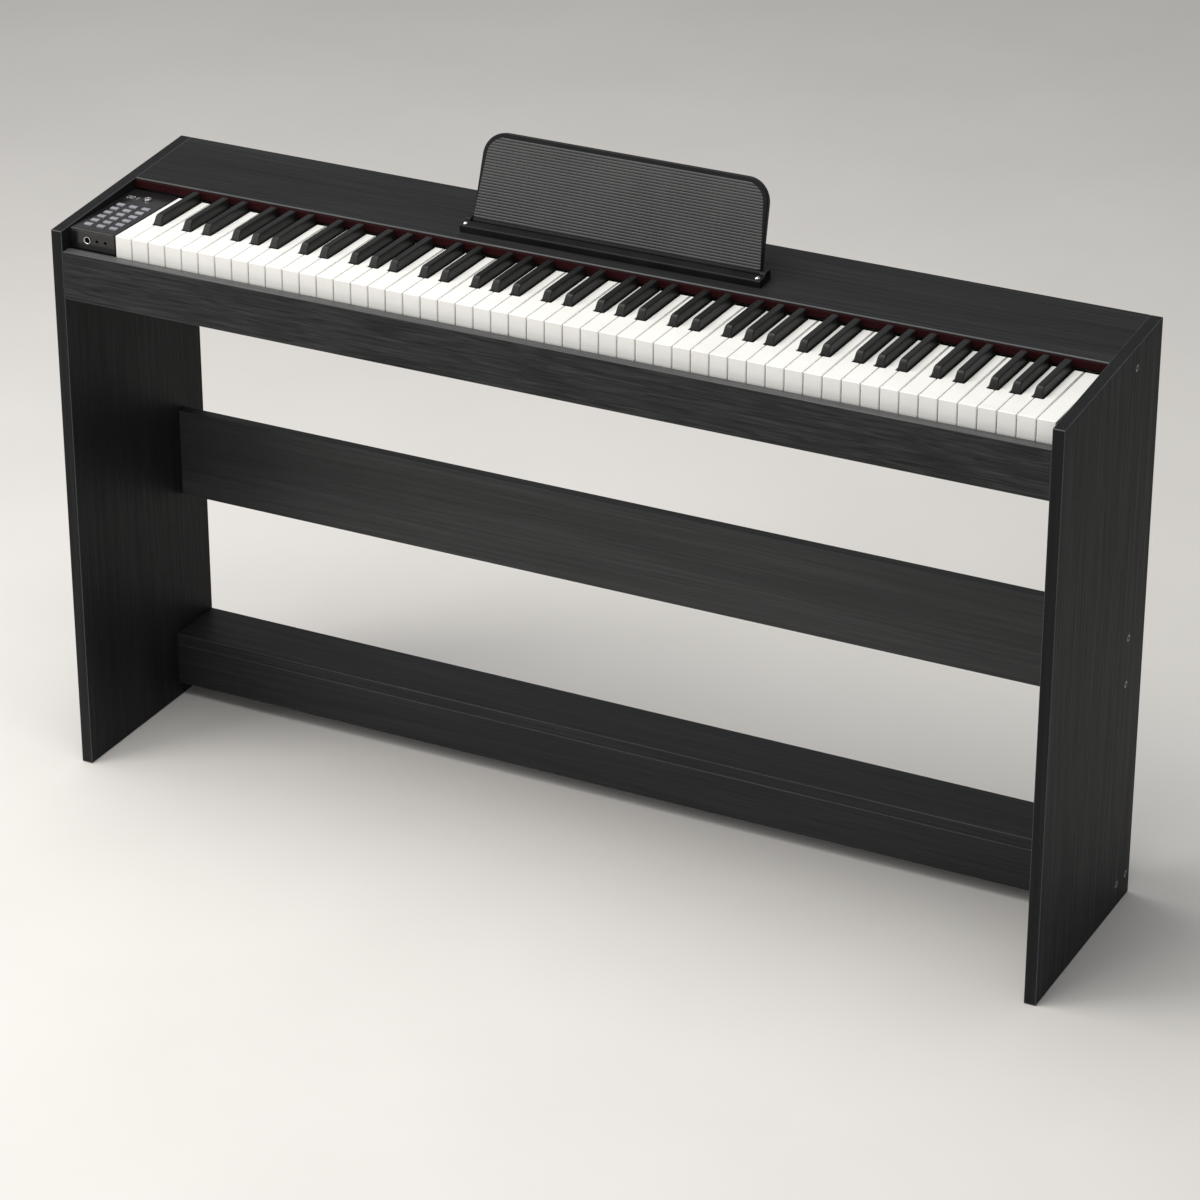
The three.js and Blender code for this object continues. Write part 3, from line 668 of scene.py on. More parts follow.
def octave():
    """(name, comb, head, tail) for the twelve keys. Tail width = (n pitch - (n - 1) slot) / n for a
    group of n white keys."""
    keys = []
    for letters, flats, first in (("CDE", ("Db", "Eb"), 0), ("FGAB", ("Gb", "Ab", "Bb"), 3)):
        tail = (len(letters) * PITCH - len(flats) * SLOT) / len(letters)
        for i, letter in enumerate(letters):
            left = first * PITCH + i * (tail + SLOT)
            head = (first + i) * PITCH
            keys.append((letter, "cegb" if letter in "CEGB" else "dfa", (head, head + PITCH),
                         (left, left + tail)))
            if i < len(flats):
                keys.append((flats[i], "black", None, (left + tail, left + tail + SLOT)))
    return keys


def all_keys():
    """Nine octaves are laid out, and what falls outside A0 to C8 is dropped."""
    keys = []
    for number in range(9):
        start = KEYS_LEFT + (number * 7 - 5) * PITCH
        for letter, comb, head, tail in octave():
            head = head and (head[0] + start, head[1] + start)
            tail = (tail[0] + start, tail[1] + start)
            edge = (head or tail)[0]
            if edge < KEYS_LEFT - 1 or tail[1] > KEYS_RIGHT + 1 or (number == 8 and letter != "C"):
                continue
            if abs(edge - KEYS_LEFT) < 1:
                tail = (edge, tail[1])
            if number == 8:
                tail = head
            keys.append((f"{letter}{number}", comb, head, tail, min(max(number, 1), 7)))
    return keys


def comb_node(comb, number):
    """The name of a comb of keys in the solid model."""
    return f"black_keys_{number}" if comb == "black" else f"white_keys_{number}_{comb}"


KEYS = all_keys()
print(len(KEYS), "keys, from", KEYS[0][0], "to", KEYS[-1][0])

# %% [markdown]
# A white key is a plate with an L or T outline: a wide head, a notch for each
# black neighbour, and a narrow tail. The top edge is rounded by about a
# millimetre, so that a thumb slides over it, and the notch's inner corner has a
# small fillet from the mould. The light on those edges is what makes a row of
# keys read as separate.

# %% White keys
def white_key(name, head, tail, body):
    """Outline = head rectangle plus tail rectangle, 0.5 mm in on each side for the air between keys."""
    hx0, hx1, tx0, tx1 = head[0] + 0.5, head[1] - 0.5, tail[0] + 0.5, tail[1] - 0.5
    corners = [((hx0, KEY_FRONT), 1.3), ((hx1, KEY_FRONT), 1.3)]
    if hx1 - tx1 > 0.5:
        corners += [((hx1, HEAD_BACK), 0.9), ((tx1, HEAD_BACK), 1.4)]
    corners += [((tx1, TAIL_END), 0.2), ((tx0, TAIL_END), 0.2)]
    if tx0 - hx0 > 0.5:
        corners += [((tx0, HEAD_BACK), 1.4), ((hx0, HEAD_BACK), 0.9)]
    outline = rounded([p for p, _ in corners], [r for _, r in corners], 4)
    shell = plate(outline, edge_path(KEY_FOOT, KEY_TOP, 0.2, 0.95, 4))
    return add_piece("key_" + name, [shell], WHITE_KEY, body, crease=60)


count = 0
for name, comb, head, tail, number in KEYS:
    if comb != "black":
        white_key(name, head, tail, comb_node(comb, number))
        count += 1
print(count, "white keys")

# %% [markdown]
# A black key is narrower at the top than at its foot, has rounded shoulders, and
# slopes down at the front so that a finger can slide off it. It is a loft: the
# same rounded section carried back along the key, with its height following the
# nose curve.

# %% Black keys
NOSE = [(71.2, 733.2), (71.4, 734.1), (72.4, 736.0), (74.0, 738.9), (75.6, 741.6), (76.8, 743.3),
        (78.1, 744.3), (80.0, 744.8), (83.0, 744.95), (115, 744.97), (TAIL_END, 744.95)]


def key_section(height):
    """Half the width = 5.75 at the foot, and tapers by 1 mm over the 12 mm that stand above the white
    keys. The shoulders' radius grows with the height, up to 1.7 mm."""
    above = height - KEY_TOP
    half = 5.75 - 1.0 * max(above, 0) / 12
    r = min(1.7, 0.25 + 0.4 * above)
    a = np.radians([0, 22, 45, 68, 90])
    right = np.stack([half - r + r * np.cos(a), height - r + r * np.sin(a)], 1)
    left = right[::-1] * (-1, 1)
    foot = [(-5.75, 710.5), (5.75, 710.5), (5.75, 732.3)]
    return np.array(foot + right.tolist() + [(0, height + 0.03)] + left.tolist() + [(-5.75, 732.3)])


def black_key(name, tail, body):
    """One section for each point of the nose curve, about the middle of the key's slot."""
    middle = (tail[0] + tail[1]) / 2
    rings = []
    for y, z in NOSE:
        section = key_section(z)
        rings.append(np.c_[section[:, 0] + middle, np.full(len(section), y), section[:, 1]])
    return add_piece("key_" + name, [loft(rings)], BLACK_KEY, body, crease=62)


count = 0
for name, comb, head, tail, number in KEYS:
    if comb == "black":
        black_key(name, tail, comb_node(comb, number))
        count += 1
print(count, "black keys")

# %% [markdown]
# Behind the felt the keys run on as thin arms to the bead that they all turn on,
# and a cross bar ties each set of arms together. The solid model has those arms
# already. A copy of each comb is merged, cut where the key tops end, and capped,
# so a finished key and its arm meet in one plane.

# %% The arms and cross bars behind the key tops
import bmesh


def key_arms(node_name, material):
    """Keeps what lies behind the key tops of a merged copy of the comb, and fills the cut."""
    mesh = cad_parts[node_name].data.copy()
    work = bmesh.new()
    work.from_mesh(mesh)
    bmesh.ops.remove_doubles(work, verts=work.verts, dist=1e-6)
    everything = work.verts[:] + work.edges[:] + work.faces[:]
    cut = bmesh.ops.bisect_plane(work, geom=everything, dist=1e-7, clear_outer=True,
                                 plane_co=(0, (TAIL_END - DEPTH / 2) / 1000, 0), plane_no=(0, -1, 0))
    edges = [g for g in cut["geom_cut"] if isinstance(g, bmesh.types.BMEdge)]
    bmesh.ops.holes_fill(work, edges=edges, sides=0)
    bmesh.ops.dissolve_limit(work, angle_limit=0.01, verts=work.verts, edges=work.edges)
    bmesh.ops.recalc_face_normals(work, faces=work.faces)
    clean = bpy.data.meshes.new("arms_" + node_name)
    work.to_mesh(clean)
    work.free()
    bpy.data.meshes.remove(mesh)
    obj = bpy.data.objects.new("arms_" + node_name, clean)
    bpy.context.scene.collection.objects.link(obj)
    soft = obj.modifiers.new("Soft edges", "BEVEL")
    soft.width, soft.segments, soft.limit_method, soft.angle_limit = 0.0002, 2, "ANGLE", math.radians(40)
    return finish_object(obj, material, node_name, [node_name])


for comb, number in sorted({(k[1], k[4]) for k in KEYS}):
    shade, slot = (BLACK_KEY, "black_key") if comb == "black" else (WHITE_KEY, "white_key")
    key_arms(comb_node(comb, number), shade)
print("21 sets of key arms")

# %% [markdown]
# The felt hangs from the top board's front edge and closes the gap behind the
# keys. Pressed felt cut from a roll is never quite straight, so its front wanders
# by about a tenth of a millimetre, and its cut edge is softly rounded.

# %% Felt strip
def felt_strip():
    """A rounded section along x. A sum of sines of x with unrelated wavelengths pushes the front face
    back by up to 0.12 mm, and lifts and lowers the bottom edge a little."""
    section = rounded([(166.6, 734.4), (168.6, 734.4), (168.6, 744.2), (166.6, 744.2)], 0.7, 3)
    sides = zip(section, np.roll(section, -1, 0))
    fine = np.concatenate([np.linspace(a, b, 3, endpoint=False) for a, b in sides])
    x = np.linspace(-INNER + 0.1, INNER - 0.1, 420)
    wander = 0.05 * np.sin(x / 9.7 + 1.0) + 0.04 * np.sin(x / 23.1) + 0.03 * np.sin(x / 4.3 + 2.0)
    rings = np.empty((len(x), len(fine), 3))
    rings[..., 0] = x[:, None]
    front = (fine[:, 0] < 167.6).astype(float)
    rings[..., 1] = fine[:, 0] + np.abs(wander)[:, None] * front
    rings[..., 2] = fine[:, 1] + 0.6 * wander[:, None] * (fine[:, 1] < 739)
    return add_piece("strip_felt", [loft(rings)], FELT_PAINTED_SHADE, replaces=["felt_strip"], crease=80)


felt_strip()
print("felt strip", round(2 * INNER), "mm long")

# %% [markdown]
# The control block is a shiny black cover left of the keys. Its top is a plate
# with eighteen button holes, a round hole for the power button, and a stepped
# window for the display. The walls below it are two more plates: the front with
# its socket holes, and a U round the other three sides. The thin line where cover
# and walls meet is a mould line that such covers really have.

# %% Control block cover
HOUSE_X, HOUSE_Y = (-INNER, KEYS_LEFT - 1), (KEY_FRONT, 165.8)
COVER_WALL = 2.5
COVER_LOW = KEY_TOP - COVER_WALL
COLUMNS = {"left": -628.5, "middle": -610.5, "right": -592.5}
ROWS = [36 + 14.5 * i for i in range(6)]
POWER = (-608.5, 138.0)
DISPLAY = (-640.0, -620.0, 131.0, 145.0)


def hole_wall(chamfer=0.25):
    """Straight up through the top of the cover, then out by the chamfer."""
    return [(0, COVER_LOW), (0, KEY_TOP - chamfer), (-chamfer, KEY_TOP)]


def cover_shells():
    """The top with its holes, the front with the sockets' holes, and a U of walls round the rest."""
    (x0, x1), (y0, y1) = HOUSE_X, HOUSE_Y
    top_holes = [(box_outline(x - 6, x + 6, y - 4, y + 4, 1.2), hole_wall())
                 for x in COLUMNS.values() for y in ROWS]
    top_holes.append((circle(*POWER, 5.5, 32), hole_wall(0.4)))
    a, b, c, d = DISPLAY
    ledge = COVER_LOW + 0.8
    top_holes.append((box_outline(a - 0.3, b + 0.3, c - 0.3, d + 0.3, 0.8),
                      [(1.2, COVER_LOW), (1.2, ledge), (0, ledge), (0, KEY_TOP)]))
    top = plate(box_outline(x0, x1, y0, y1, 2.2, 5), edge_path(COVER_LOW, KEY_TOP, 0.15, 1.1, 4), top_holes)
    behind = KEY_FRONT + COVER_WALL
    front_holes = [(circle(-619.5, 720, 5.2, 32), [(0, KEY_FRONT), (0, behind)])]
    front_holes += [(circle(x, 720, 1.9, 20), [(-0.3, KEY_FRONT), (0, KEY_FRONT + 0.3), (0, behind)])
                    for x in (-606, -594)]
    low, high = BED_HIGH + 1.2, COVER_LOW - 0.1
    front = plate(box_outline(x0 + 0.1, x1 - 0.1, low, high, 0.6), edge_path(KEY_FRONT, behind, 0.5, 0.2),
                  front_holes, "xz")
    left, right, near = x0 + COVER_WALL, x1 - COVER_WALL, behind + 0.1
    u = [(x0 + 0.1, near), (left, near), (left, y1 - COVER_WALL), (right, y1 - COVER_WALL), (right, near),
         (x1 - 0.1, near), (x1 - 0.1, y1), (x0 + 0.1, y1)]
    walls = plate(rounded(u, 0.3, 2), edge_path(low, high, 0.2, 0.2, 2))
    return [top, front, walls]


add_piece("cover_controls", cover_shells(), GLOSS_BLACK, replaces=["control_housing"])
print("cover with", len(COLUMNS) * len(ROWS), "button holes")

# %% [markdown]
# The buttons of a column are moulded together: six caps on one thin rubber web.
# A cap is a rounded rectangle whose rings draw in slightly on the way up and then
# close over a shallow dome.

# %% Rubber buttons
def cap_shell(x, y):
    """Each ring has an inset and a height: straight wall, quarter-round shoulder of 0.7 mm, then a crown
    of 0.35 mm. Beyond the corner radius an inset would fold over, so the inner rings are scaled."""
    base = box_outline(x - 5.5, x + 5.5, y - 3.5, y + 3.5, 1.2, 4)
    a = np.radians([0, 25, 50, 75, 90])
    shoulder = [(0.12 + 0.7 * (1 - math.cos(t)), 733.9 + 0.7 * math.sin(t)) for t in a]
    path = [(0.0, 728.6), (0.0, 730.0), (0.12, 733.4)] + shoulder
    path += [(1.5, 734.78), (2.3, 734.9), (2.95, 734.95)]
    safe = 1.1
    levels = [np.c_[inset(base, min(d, safe)), np.full(len(base), z)] for d, z in path]
    for ring, (d, _) in zip(levels, path):
        if d > safe:
            shrink = 1 - (d - safe) / 2.6
            ring[:, :2] = (ring[:, :2] - (x, y)) * shrink + (x, y)
    return loft(levels)


for word, x in COLUMNS.items():
    web = plate(box_outline(x - 7, x + 7, ROWS[0] - 5.5, ROWS[-1] + 5.5, 1.5),
                edge_path(727.5, 729.5, 0.3, 0.3, 2))
    add_piece(f"buttons_{word}", [web] + [cap_shell(x, y) for y in ROWS], SILICONE,
              f"button_column_{word}", [f"button_column_{word}"], crease=60)
print("eighteen caps on three webs")

# %% [markdown]
# The power button is a dished metal cap on a flange. The display is a smoked
# window with its lit seven-segment digits painted pale under it, instead of glowing;
# they are thin shapes just proud of the glass, so they need no picture.

# %% Power button and display
power = [(6.5, 727.5), (6.5, 729.3), (5.0, 729.5), (5.0, 734.7), (4.8, 735.1), (4.35, 735.3), (3.9, 735.2),
         (3.6, 734.95), (2.0, 734.75), (0.05, 734.7)]
add_piece("cap_power", [turned(power, 40, (*POWER, 0))], NICKEL, "power_button",
          ["power_button"])
a, b, c, d = DISPLAY
glass = plate(box_outline(a, b, c, d, 0.7), edge_path(731.7, 732.9, 0.1, 0.25))
add_piece("window_display", [glass], DARK_GLASS, replaces=["display_window"])


def digit(x, y, on="abcdefg"):
    """Seven bars with pointed ends, leaning by a tenth of their height."""
    w, h, t = 3.4, 7.4, 0.42
    bars = {"a": (0, h, 1), "g": (0, h / 2, 1), "d": (0, 0, 1), "f": (0, h / 2, 0), "b": (w, h / 2, 0),
            "e": (0, 0, 0), "c": (w, 0, 0)}
    shells = []
    for key in on:
        bx, by, flat = bars[key]
        length = w if flat else h / 2
        along = np.array([(0.35, 0), (0.35 + t, -t), (length - 0.35 - t, -t), (length - 0.35, 0),
                          (length - 0.35 - t, t), (0.35 + t, t)])
        p = along if flat else along[::-1, ::-1]
        p = p + (bx, by)
        p = np.c_[p[:, 0] + 0.1 * p[:, 1] + x, p[:, 1] + y]
        area = 0.5 * np.sum(p[:, 0] * np.roll(p[:, 1], -1) - p[:, 1] * np.roll(p[:, 0], -1))
        shells.append(plate(p if area > 0 else p[::-1], [(0, 732.7), (0, 732.98)]))
    return shells


digits = digit(-637.4, 134.2, "abcdef") + digit(-631.9, 134.2, "abcdef") + digit(-626.4, 134.2, "bc")
add_piece("digits_display", digits, LIT_SEGMENTS_PAINTED)
print("power button, display with", len(digits), "lit bars")

# %% [markdown]
# The headphone socket is a nickel ring with a flat rim and a chamfered mouth. It
# is a closed profile turned all the way round, so it is a ring of faces with no
# end caps: a bore goes through it.

# %% Rings and sockets
def ring_shell(profile, n, centre=(0, 0, 0), axis="z"):
    """A closed profile turned about an axis, joined back to its own start."""
    return swept_round(profile, n, centre, axis).reshape(-1, 3), quads(len(profile), n, closed=True)


phones = [(3.3, 17.4), (3.7, 16.9), (4.4, 16.7), (4.85, 16.85), (5.0, 17.2), (5.0, 17.9), (4.3, 18.0),
          (4.3, 37.7), (3.3, 37.7)]
add_piece("ring_headphones", [ring_shell(phones, 40, (-619.5, 0, 720), "y")], NICKEL,
          replaces=["headphone_socket"])
print("headphone ring")

# %% [markdown]
# The speakers sit over the oval mouths. Each has a pressed frame, a rubber roll
# round the edge, a paper cone and a dust cap, and a magnet on top. A grille of
# slots in the mouth keeps fingers off the cone. The shapes are turned ones,
# stretched 1.9 times in x to make them oval.

# %% Speakers and grilles
STRETCH = 1.9


def over_mouth(shell, x):
    """Stretches a round shell in x and moves it over a speaker's mouth."""
    points, faces = shell
    return points * (STRETCH, 1, 1) + (x, SPEAKER_Y, BED_HIGH + GAP), faces


for word, x in (("left", -SPEAKER_X), ("right", SPEAKER_X)):
    basket = [(0.3, 7.5), (8.0, 8.0), (23.4, 1.6), (24, 0.1), (29.6, 0), (30, 0.4), (30, 2.2), (29.6, 2.5),
              (24.5, 3.0), (22.5, 3.6), (15.2, 12.6), (15, 13.4), (15, 23.5), (14.5, 24), (0.3, 24)]
    add_piece(f"speaker_unit_{word}", [over_mouth(turned(basket, 48), x)], SATIN_BLACK,
              replaces=[f"speaker_{word}"])
    a = np.linspace(0, math.pi, 7)
    roll = [(22.8 + 1.6 * -math.cos(t) - 1.0, 1.4 - 1.1 * math.sin(t)) for t in a]
    surround = [(20.2, 3.4)] + roll + [(23.6, 2.0)]
    dome = [(0.2, 4.9), (3.5, 5.3), (6.2, 6.4), (7.0, 7.2), (7.0, 7.9), (0.2, 7.9)]
    cone = [(6.0, 7.4), (21.4, 2.0), (21.4, 2.6), (6.0, 8.0)]
    add_piece(f"surround_{word}", [over_mouth(ring_shell(surround, 48), x)], RUBBER)
    paper = [over_mouth(turned(dome, 48), x), over_mouth(ring_shell(cone, 48), x)]
    add_piece(f"cone_{word}", paper, CONE_PAPER)
    slots = []
    for k in range(-4, 5):
        off = 4.6 * k
        y = SPEAKER_Y + off
        reach = 44.6 * math.sqrt(1 - (off / 23.4) ** 2) - 4.5
        slots.append((box_outline(x - reach, x + reach, y - 1.3, y + 1.3, 1.2, 4),
                      [(-0.3, 646), (0, 646.3), (0, 648)]))
    grille = plate(oval(x, SPEAKER_Y, 45.3, 23.7), edge_path(646, 648, 0.4, 0.3, 2), slots)
    add_piece(f"grille_{word}", [grille], SATIN_BLACK)
print("two speakers behind slotted grilles")

# %% [markdown]
# The rear plate carries the power inlet with its centre pin, a square data
# socket with a tongue, and the pedal socket with a nickel ring. Four small
# screws hold it to the rear panel.

# %% Rear sockets
PLATE_LOW, PLATE_HIGH = REAR_BACK + GAP, 299.7
INLET_X, DATA_X, PEDAL_X, SOCKET_Z = -460, -420, -380, 690


def rear_plate():
    """A thin face with rounded corners, and a block behind it that fills the rear panel's window."""
    round_wall = [(0, PLATE_LOW), (0, 299.4), (-0.3, PLATE_HIGH)]
    mouth = [(DATA_X - 6.1, 684.4), (DATA_X + 6.1, 684.4), (DATA_X + 6.1, 692.6), (DATA_X + 3.1, 695.6),
             (DATA_X - 3.1, 695.6), (DATA_X - 6.1, 692.6)]
    holes = [(circle(INLET_X, SOCKET_Z, 4.2, 32), round_wall),
             (circle(PEDAL_X, SOCKET_Z, 4.1, 32), round_wall),
             (rounded(mouth, 0.4), [(0, PLATE_LOW), (0, 299.5), (-0.2, PLATE_HIGH)])]
    face = plate(box_outline(-481, -359, 671, 709, 4, 5), edge_path(PLATE_LOW, PLATE_HIGH, 0.1, 0.6), holes,
                 "xz")
    deep = [(outline, [(0, REAR_FRONT), (0, 298.2)]) for outline, _ in holes]
    block = plate(box_outline(-475, -365, 677, 703, 1), edge_path(REAR_FRONT, 298.2, 0.3, 0, 2), deep, "xz")
    return [face, block]


add_piece("plate_sockets", rear_plate(), SATIN_BLACK, replaces=["rear_socket_plate"])
pin = turned([(1.0, 286.5), (1.0, 296.2), (0.75, 296.9), (0.2, 297.1)], 20, (INLET_X, 0, SOCKET_Z), "y")
sleeve = [(3.3, 288), (4.05, 288), (4.05, 299.5), (3.8, PLATE_HIGH), (3.45, 299.6), (3.3, 299.3)]
sleeve = ring_shell(sleeve, 32, (PEDAL_X, 0, SOCKET_Z), "y")
add_piece("pins_sockets", [pin, sleeve], NICKEL)
tongue = plate(box_outline(DATA_X - 3, DATA_X + 3, 688.2, 691.4, 0.4), edge_path(286.5, 297.5, 0.1, 0.4, 2),
               plane="xz")
add_piece("tongue_data_socket", [tongue], SATIN_BLACK)
head = [(1.2, 297), (1.2, 298.4), (2.0, 299.2), (2.0, 299.5), (1.7, 299.85), (1.2, 299.95), (1.1, 299.95),
        (0.9, 299.6), (0.3, 299.5)]
slot_shape = recessed(lambda radius, a: cross(radius * 1.1, radius * 0.32, a), 6)
heads = [turned(head, 32, (x, 0, z), "y", slot_shape) for x in (-477, -363) for z in (675, 705)]
add_piece("screws_socket_plate", heads, BLACK_OXIDE, crease=35)
print("sockets, pins and four small screws")

# %% [markdown]
# The music rest stands on the sloping top board, so its parts are easiest to
# draw in the board's own directions: s along the slope and h above it. The ledge
# is a bar with a low foot behind it and an ear at each end that holds the hinge
# pins. Its top edge is rounded a little more at the front, where books slide on.

# %% Ledge
LEDGE_X, LEDGE_WIDTH = 4.0, 400.0
REST_S, REST_H = 210.3, 7.8


def on_deck(points):
    """(x, s, h) to (x, y, z): y = s cos - h sin, z = front height + s sin + h cos."""
    x, s, h = np.asarray(points, float).T
    y = s * math.cos(SLOPE) - h * math.sin(SLOPE)
    z = FRONT_HEIGHT + s * math.sin(SLOPE) + h * math.cos(SLOPE)
    return np.stack([x, y, z], 1)


def deck_plate(section, x0, x1, radius, holes=()):
    """A section in (s, h) carried along x from x0 to x1."""
    points, faces = plate(section, edge_path(x0, x1, radius, radius), holes, "yz")
    return on_deck(points), faces


def ledge_shells():
    """The bar with its foot, and the two ears with their pin holes."""
    x0, x1 = LEDGE_X - LEDGE_WIDTH / 2, LEDGE_X + LEDGE_WIDTH / 2
    bar = rounded([(187.6, GAP), (217.6, GAP), (217.6, 2.3), (203, 2.3), (203, 9.3), (187.6, 9.3)],
                  [0.4, 0.5, 0.7, 0.9, 0.7, 1.9], 4)
    shells = [deck_plate(bar, x0, x1, 0.7)]
    ear = rounded([(201.6, 0.5), (217.5, 0.5), (217.5, 12.8), (201.6, 12.8)], [0.3, 0.3, 4.2, 4.2], 6)
    pin_hole = circle(REST_S, REST_H, 2.3, 24)
    for a, b in ((x0 + 0.2, -188.4), (196.4, x1 - 0.2)):
        wall = [(-0.3, a), (0, a + 0.3), (0, b - 0.3), (-0.3, b)]
        shells.append(deck_plate(ear, a, b, 0.5, [(pin_hole, wall)]))
    return shells


add_piece("ledge_rest", ledge_shells(), SATIN_BLACK, replaces=["rest_ledge"])
screw = [(1.5, -8), (1.5, 9.5), (3.3, 9.6), (3.4, 9.9), (2.9, 10.9), (2.1, 11.45), (1.5, 11.6),
         (1.4, 11.55), (1.1, 10.6), (0.2, 10.4)]
slot_shape = recessed(lambda radius, a: cross(radius * 1.15, radius * 0.34, a), 7)
for word, side in (("left", -1), ("right", 1)):
    points, faces = turned(screw, 40, (LEDGE_X + side * 194, 193.6, 0), shape=slot_shape)
    add_piece(f"screw_ledge_{word}", [(on_deck(points), faces)], NICKEL,
              replaces=[f"ledge_screw_{word}"], crease=35)
print("ledge", LEDGE_WIDTH, "mm long with two cross-head screws")

# %% [markdown]
# The rest itself is a panel with big round top corners, slightly narrower at the
# top, that leans back 16 degrees. Inside a plain border its face is covered in
# fine level ribs. They could be a bump, but then the panel's face would look flat
# from the side, so they are real: height above the face is a row of round humps
# up the panel, on a grid whose rows follow the outline's width at each height.

# %% Music rest
REST_LEAN = math.radians(16)
REST_WIDTH, REST_TOP, REST_HEIGHT, REST_CORNER = 383.4, 376.0, 110.0, 30.0
pivot = on_deck([(LEDGE_X, REST_S, REST_H)])[0]


def leaning(points):
    """The panel is drawn upright round its pivot, then turned back: y = a cos + b sin, and
    z = b cos - a sin."""
    x, a, b = np.asarray(points, float).T
    c, s = math.cos(REST_LEAN), math.sin(REST_LEAN)
    return np.stack([x, a * c + b * s, b * c - a * s], 1) + pivot


def rest_outline(border=0.0):
    """Wide at the foot, narrower at the top, with two large corners. border moves it inwards."""
    w, t, h = REST_WIDTH / 2, REST_TOP / 2, REST_HEIGHT
    shape = rounded([(-w, 0), (w, 0), (t, h), (-t, h)], [0.6, 0.6, REST_CORNER, REST_CORNER], 16)
    return inset(shape, border)


def width_at(shape, heights):
    """Half the outline's width at each height, from the right-hand side's points."""
    right = shape[shape[:, 0] > 0]
    order = np.argsort(right[:, 1])
    return np.interp(heights, right[order, 1], right[order, 0])


def ribbed_field(border=5.5, first=3.2, pitch=3.6, face=-4.15, height=0.8):
    """Grid (up, across): depth = face - height sqrt(|sin(pi (up - first) / pitch)|), and the columns at
    either end have no rib."""
    shape = rest_outline(border)
    top = shape[:, 1].max() - 0.05
    ribs = int((top - first) / pitch)
    up = np.linspace(first, first + ribs * pitch, ribs * 7 + 1)
    half = width_at(shape, up)
    across = np.array([-1, -0.9985, -0.6, -0.2, 0.2, 0.6, 0.9985, 1])
    rib = height * np.sqrt(np.abs(np.sin(math.pi * (up - first) / pitch)))
    lift = np.where(np.abs(across) > 0.999, 0.0, 1.0)
    x = half[:, None] * across
    depth = face - rib[:, None] * lift
    n, m = x.shape
    front = np.stack([x, depth, np.repeat(up[:, None], m, 1)], -1).reshape(-1, 3)
    back = front.copy()
    back[:, 1] = -3.6
    i, j = np.meshgrid(np.arange(n - 1), np.arange(m - 1), indexing="ij")
    f = np.stack([i * m + j, i * m + j + 1, (i + 1) * m + j + 1, (i + 1) * m + j], -1).reshape(-1, 4)
    faces = [tuple(q) for q in f.tolist()] + [tuple(q) for q in (f[:, ::-1] + n * m).tolist()]
    right = [k * m + m - 1 for k in range(1, n)]
    over = [(n - 1) * m + k for k in range(m - 2, -1, -1)]
    left = [k * m for k in range(n - 2, 0, -1)]
    rim = list(range(m)) + right + over + left
    faces += [(b, a, a + n * m, b + n * m) for a, b in zip(rim, rim[1:] + rim[:1])]
    return np.concatenate([front, back]), faces


def rest_shells():
    """The panel, the barrel along its foot, and the hinge pins that stick out of the barrel's ends."""
    slab = plate(rest_outline(), edge_path(-4.45, 5.0, 1.6, 2.6, 5), plane="xz")
    half = REST_WIDTH / 2
    barrel = turned([(4.6, -half), (5, -half + 0.4), (5, half - 0.4), (4.6, half)], 32, axis="x")
    pins = turned([(1.6, -197.5), (2, -197.1), (2, 197.1), (1.6, 197.5)], 20, axis="x")
    return [(leaning(points), faces) for points, faces in (slab, barrel, pins)]


add_piece("rest_panel", rest_shells(), SATIN_BLACK, "music_rest", ["music_rest"])
points, faces = ribbed_field()
add_piece("rest_ribs", [(leaning(points), faces)], REST_GREY, "music_rest", crease=75)
print("music rest with", len(faces), "faces in its ribs")

# %% [markdown]
# The parts inside stay as the solid model has them: the folded chassis that the
# keys turn on, the contact board and the main board. They only get their finish.
# A Weld modifier joins their loose triangles, and a Bevel then softens the edges
# without touching the mesh itself.

# %% Finishes for the parts inside
for name, material, width in (("key_chassis", ZINC, 0.0003), ("contact_board", BOARD_GREEN, 0.0002),
                              ("main_board", BOARD_GREEN, 0.0002)):
    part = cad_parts[name]
    part.data.materials.clear()
    part.data.materials.append(material)
    part.modifiers.new("Join", "WELD").merge_threshold = 1e-5
    soft = part.modifiers.new("Soft edges", "BEVEL")
    soft.width, soft.segments, soft.limit_method, soft.angle_limit = width, 2, "ANGLE", math.radians(40)
print("chassis and boards finished")

# %% [markdown]
# The piano stands on a plain pale floor. A studio would sweep its paper up into a
# wall behind the piano, but then nobody could walk round and look at the back. A
# very wide disc has no behind: it runs out to where the pale surround takes over.

# %% Floor
def floor_disc(radii=(2.0, 8.0, 20.0, 60.0), n=64, level=-0.0005):
    """Rings of points (r cos a, r sin a), in metres, half a millimetre under the feet."""
    a = np.linspace(0, 2 * math.pi, n, endpoint=False)
    rings = [np.stack([r * np.cos(a), r * np.sin(a), np.full(n, level)], 1) for r in radii]
    mesh = bpy.data.meshes.new("floor")
    mesh.from_pydata(np.concatenate(rings).tolist(), [],
                     [tuple(range(n))] + [q[::-1] for q in quads(len(rings), n)])
    obj = bpy.data.objects.new("floor", mesh)
    bpy.context.scene.collection.objects.link(obj)
    material, shader = new_material("Pale floor", Roughness=0.75)
    tone = noise(material, stretched(material, (1, 1, 1)), 3.0, 3)
    join(material, ramp(material, tone, [(0.3, (0.75, 0.73, 0.70)), (0.7, (0.78, 0.76, 0.73))]), shader,
         "Base Color")
    mesh.materials.append(material)
    return mesh


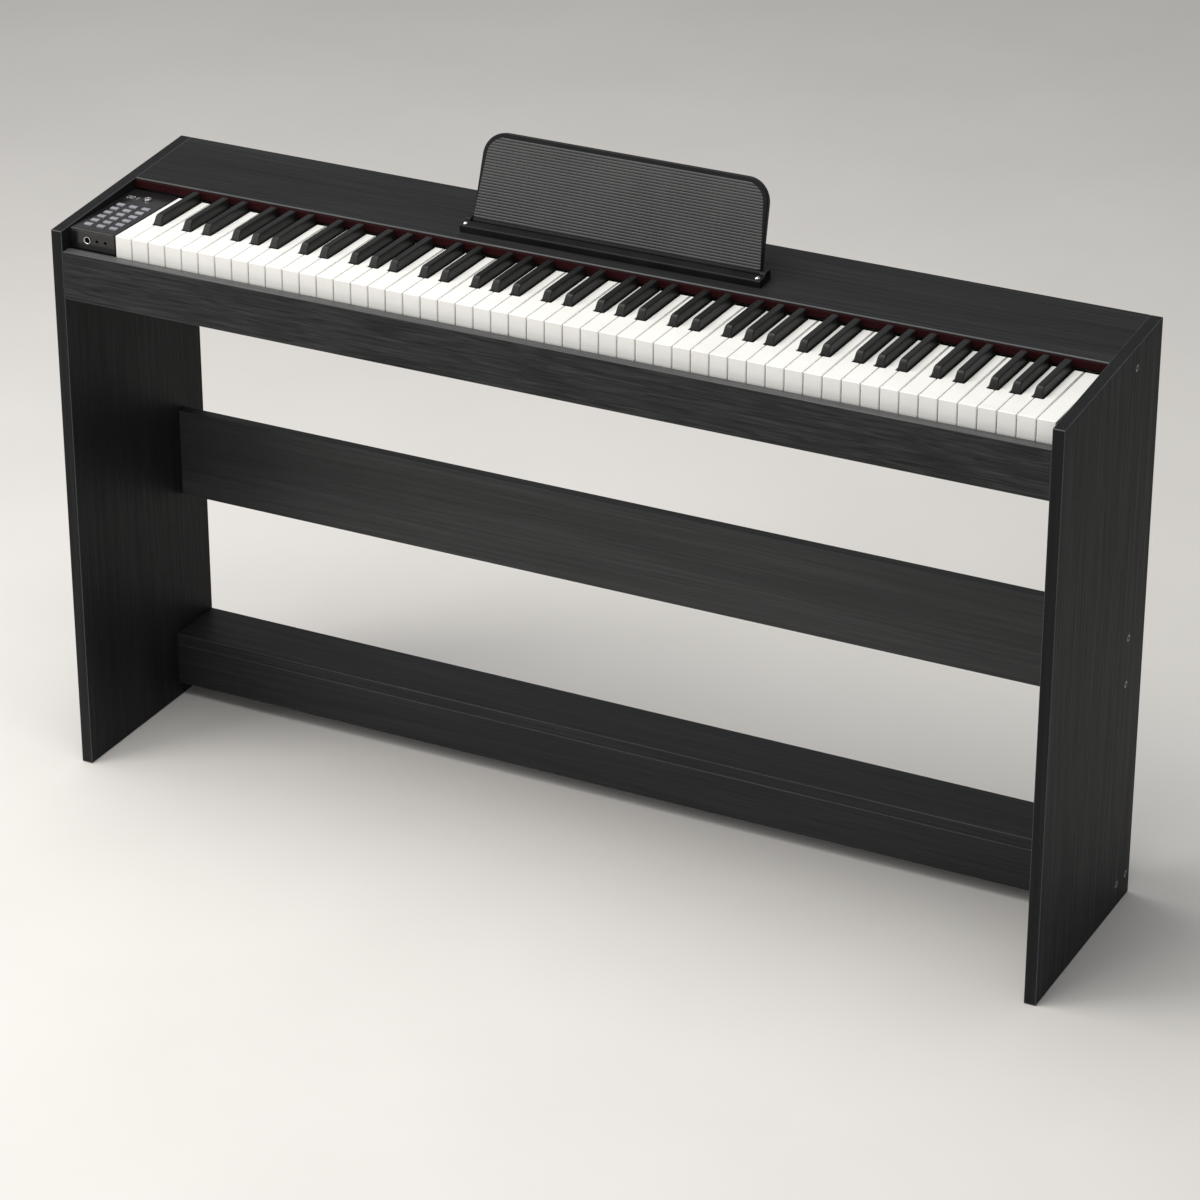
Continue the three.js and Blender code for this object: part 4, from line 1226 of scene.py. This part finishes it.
print("floor of", len(floor_disc().polygons), "faces")

# %% [markdown]
# Light. Black furniture is shaped by what it reflects more than by what falls on
# it, so large soft panels matter: one above and in front for the keys and the top
# board's edge, one at the left that fades along the boards, a weak low one in front
# for the boards near the floor, and a pale even surround.

# %% Lights
def soft_light(name, place, target, size, watts, colour):
    """An oblong panel of light at a place, turned to face its target."""
    lamp = bpy.data.lights.new(name, "AREA")
    lamp.shape = "RECTANGLE"
    lamp.size, lamp.size_y = size
    lamp.energy, lamp.color = watts, colour
    obj = bpy.data.objects.new(name, lamp)
    obj.location = place
    obj.rotation_euler = (Vector(target) - Vector(place)).to_track_quat("-Z", "Y").to_euler()
    bpy.context.scene.collection.objects.link(obj)


soft_light("light_over", (-0.6, -0.6, 3.4), (0, 0, 0.6), (3.2, 2.4), 105, (1.0, 0.985, 0.96))
soft_light("light_left", (-2.3, -1.9, 1.9), (-0.4, 0, 0.5), (1.4, 1.8), 34, (1.0, 0.97, 0.94))
soft_light("light_low", (0.2, -3.4, 0.7), (0.1, 0.1, 0.3), (3.4, 0.7), 11, (1.0, 0.97, 0.94))
world = bpy.data.worlds.new("surround")
world.use_nodes = True
surround = world.node_tree.nodes["Background"]
surround.inputs["Color"].default_value = (0.92, 0.93, 0.95, 1)
surround.inputs["Strength"].default_value = 0.34
bpy.context.scene.world = world
bpy.context.scene.view_settings.view_transform = "Standard"
print("three soft panels and a pale surround")

# %% [markdown]
# The camera stands to the right of the player and looks down at 26 degrees. A
# long lens from more than five metres away keeps the panels nearly parallel.

# %% Camera
AZIMUTH, ELEVATION = 27.11, 26.24
lens = bpy.data.cameras.new("camera")
lens.sensor_width = 36
lens.lens = 129.81
lens.clip_start, lens.clip_end = 0.1, 60
camera = bpy.data.objects.new("camera", lens)
camera.location = (2.174, -4.221, 2.654)
camera.rotation_euler = (math.radians(90 - ELEVATION), 0, math.radians(AZIMUTH))
bpy.context.scene.collection.objects.link(camera)
bpy.context.scene.camera = camera
print("lens", round(lens.lens, 1), "mm")
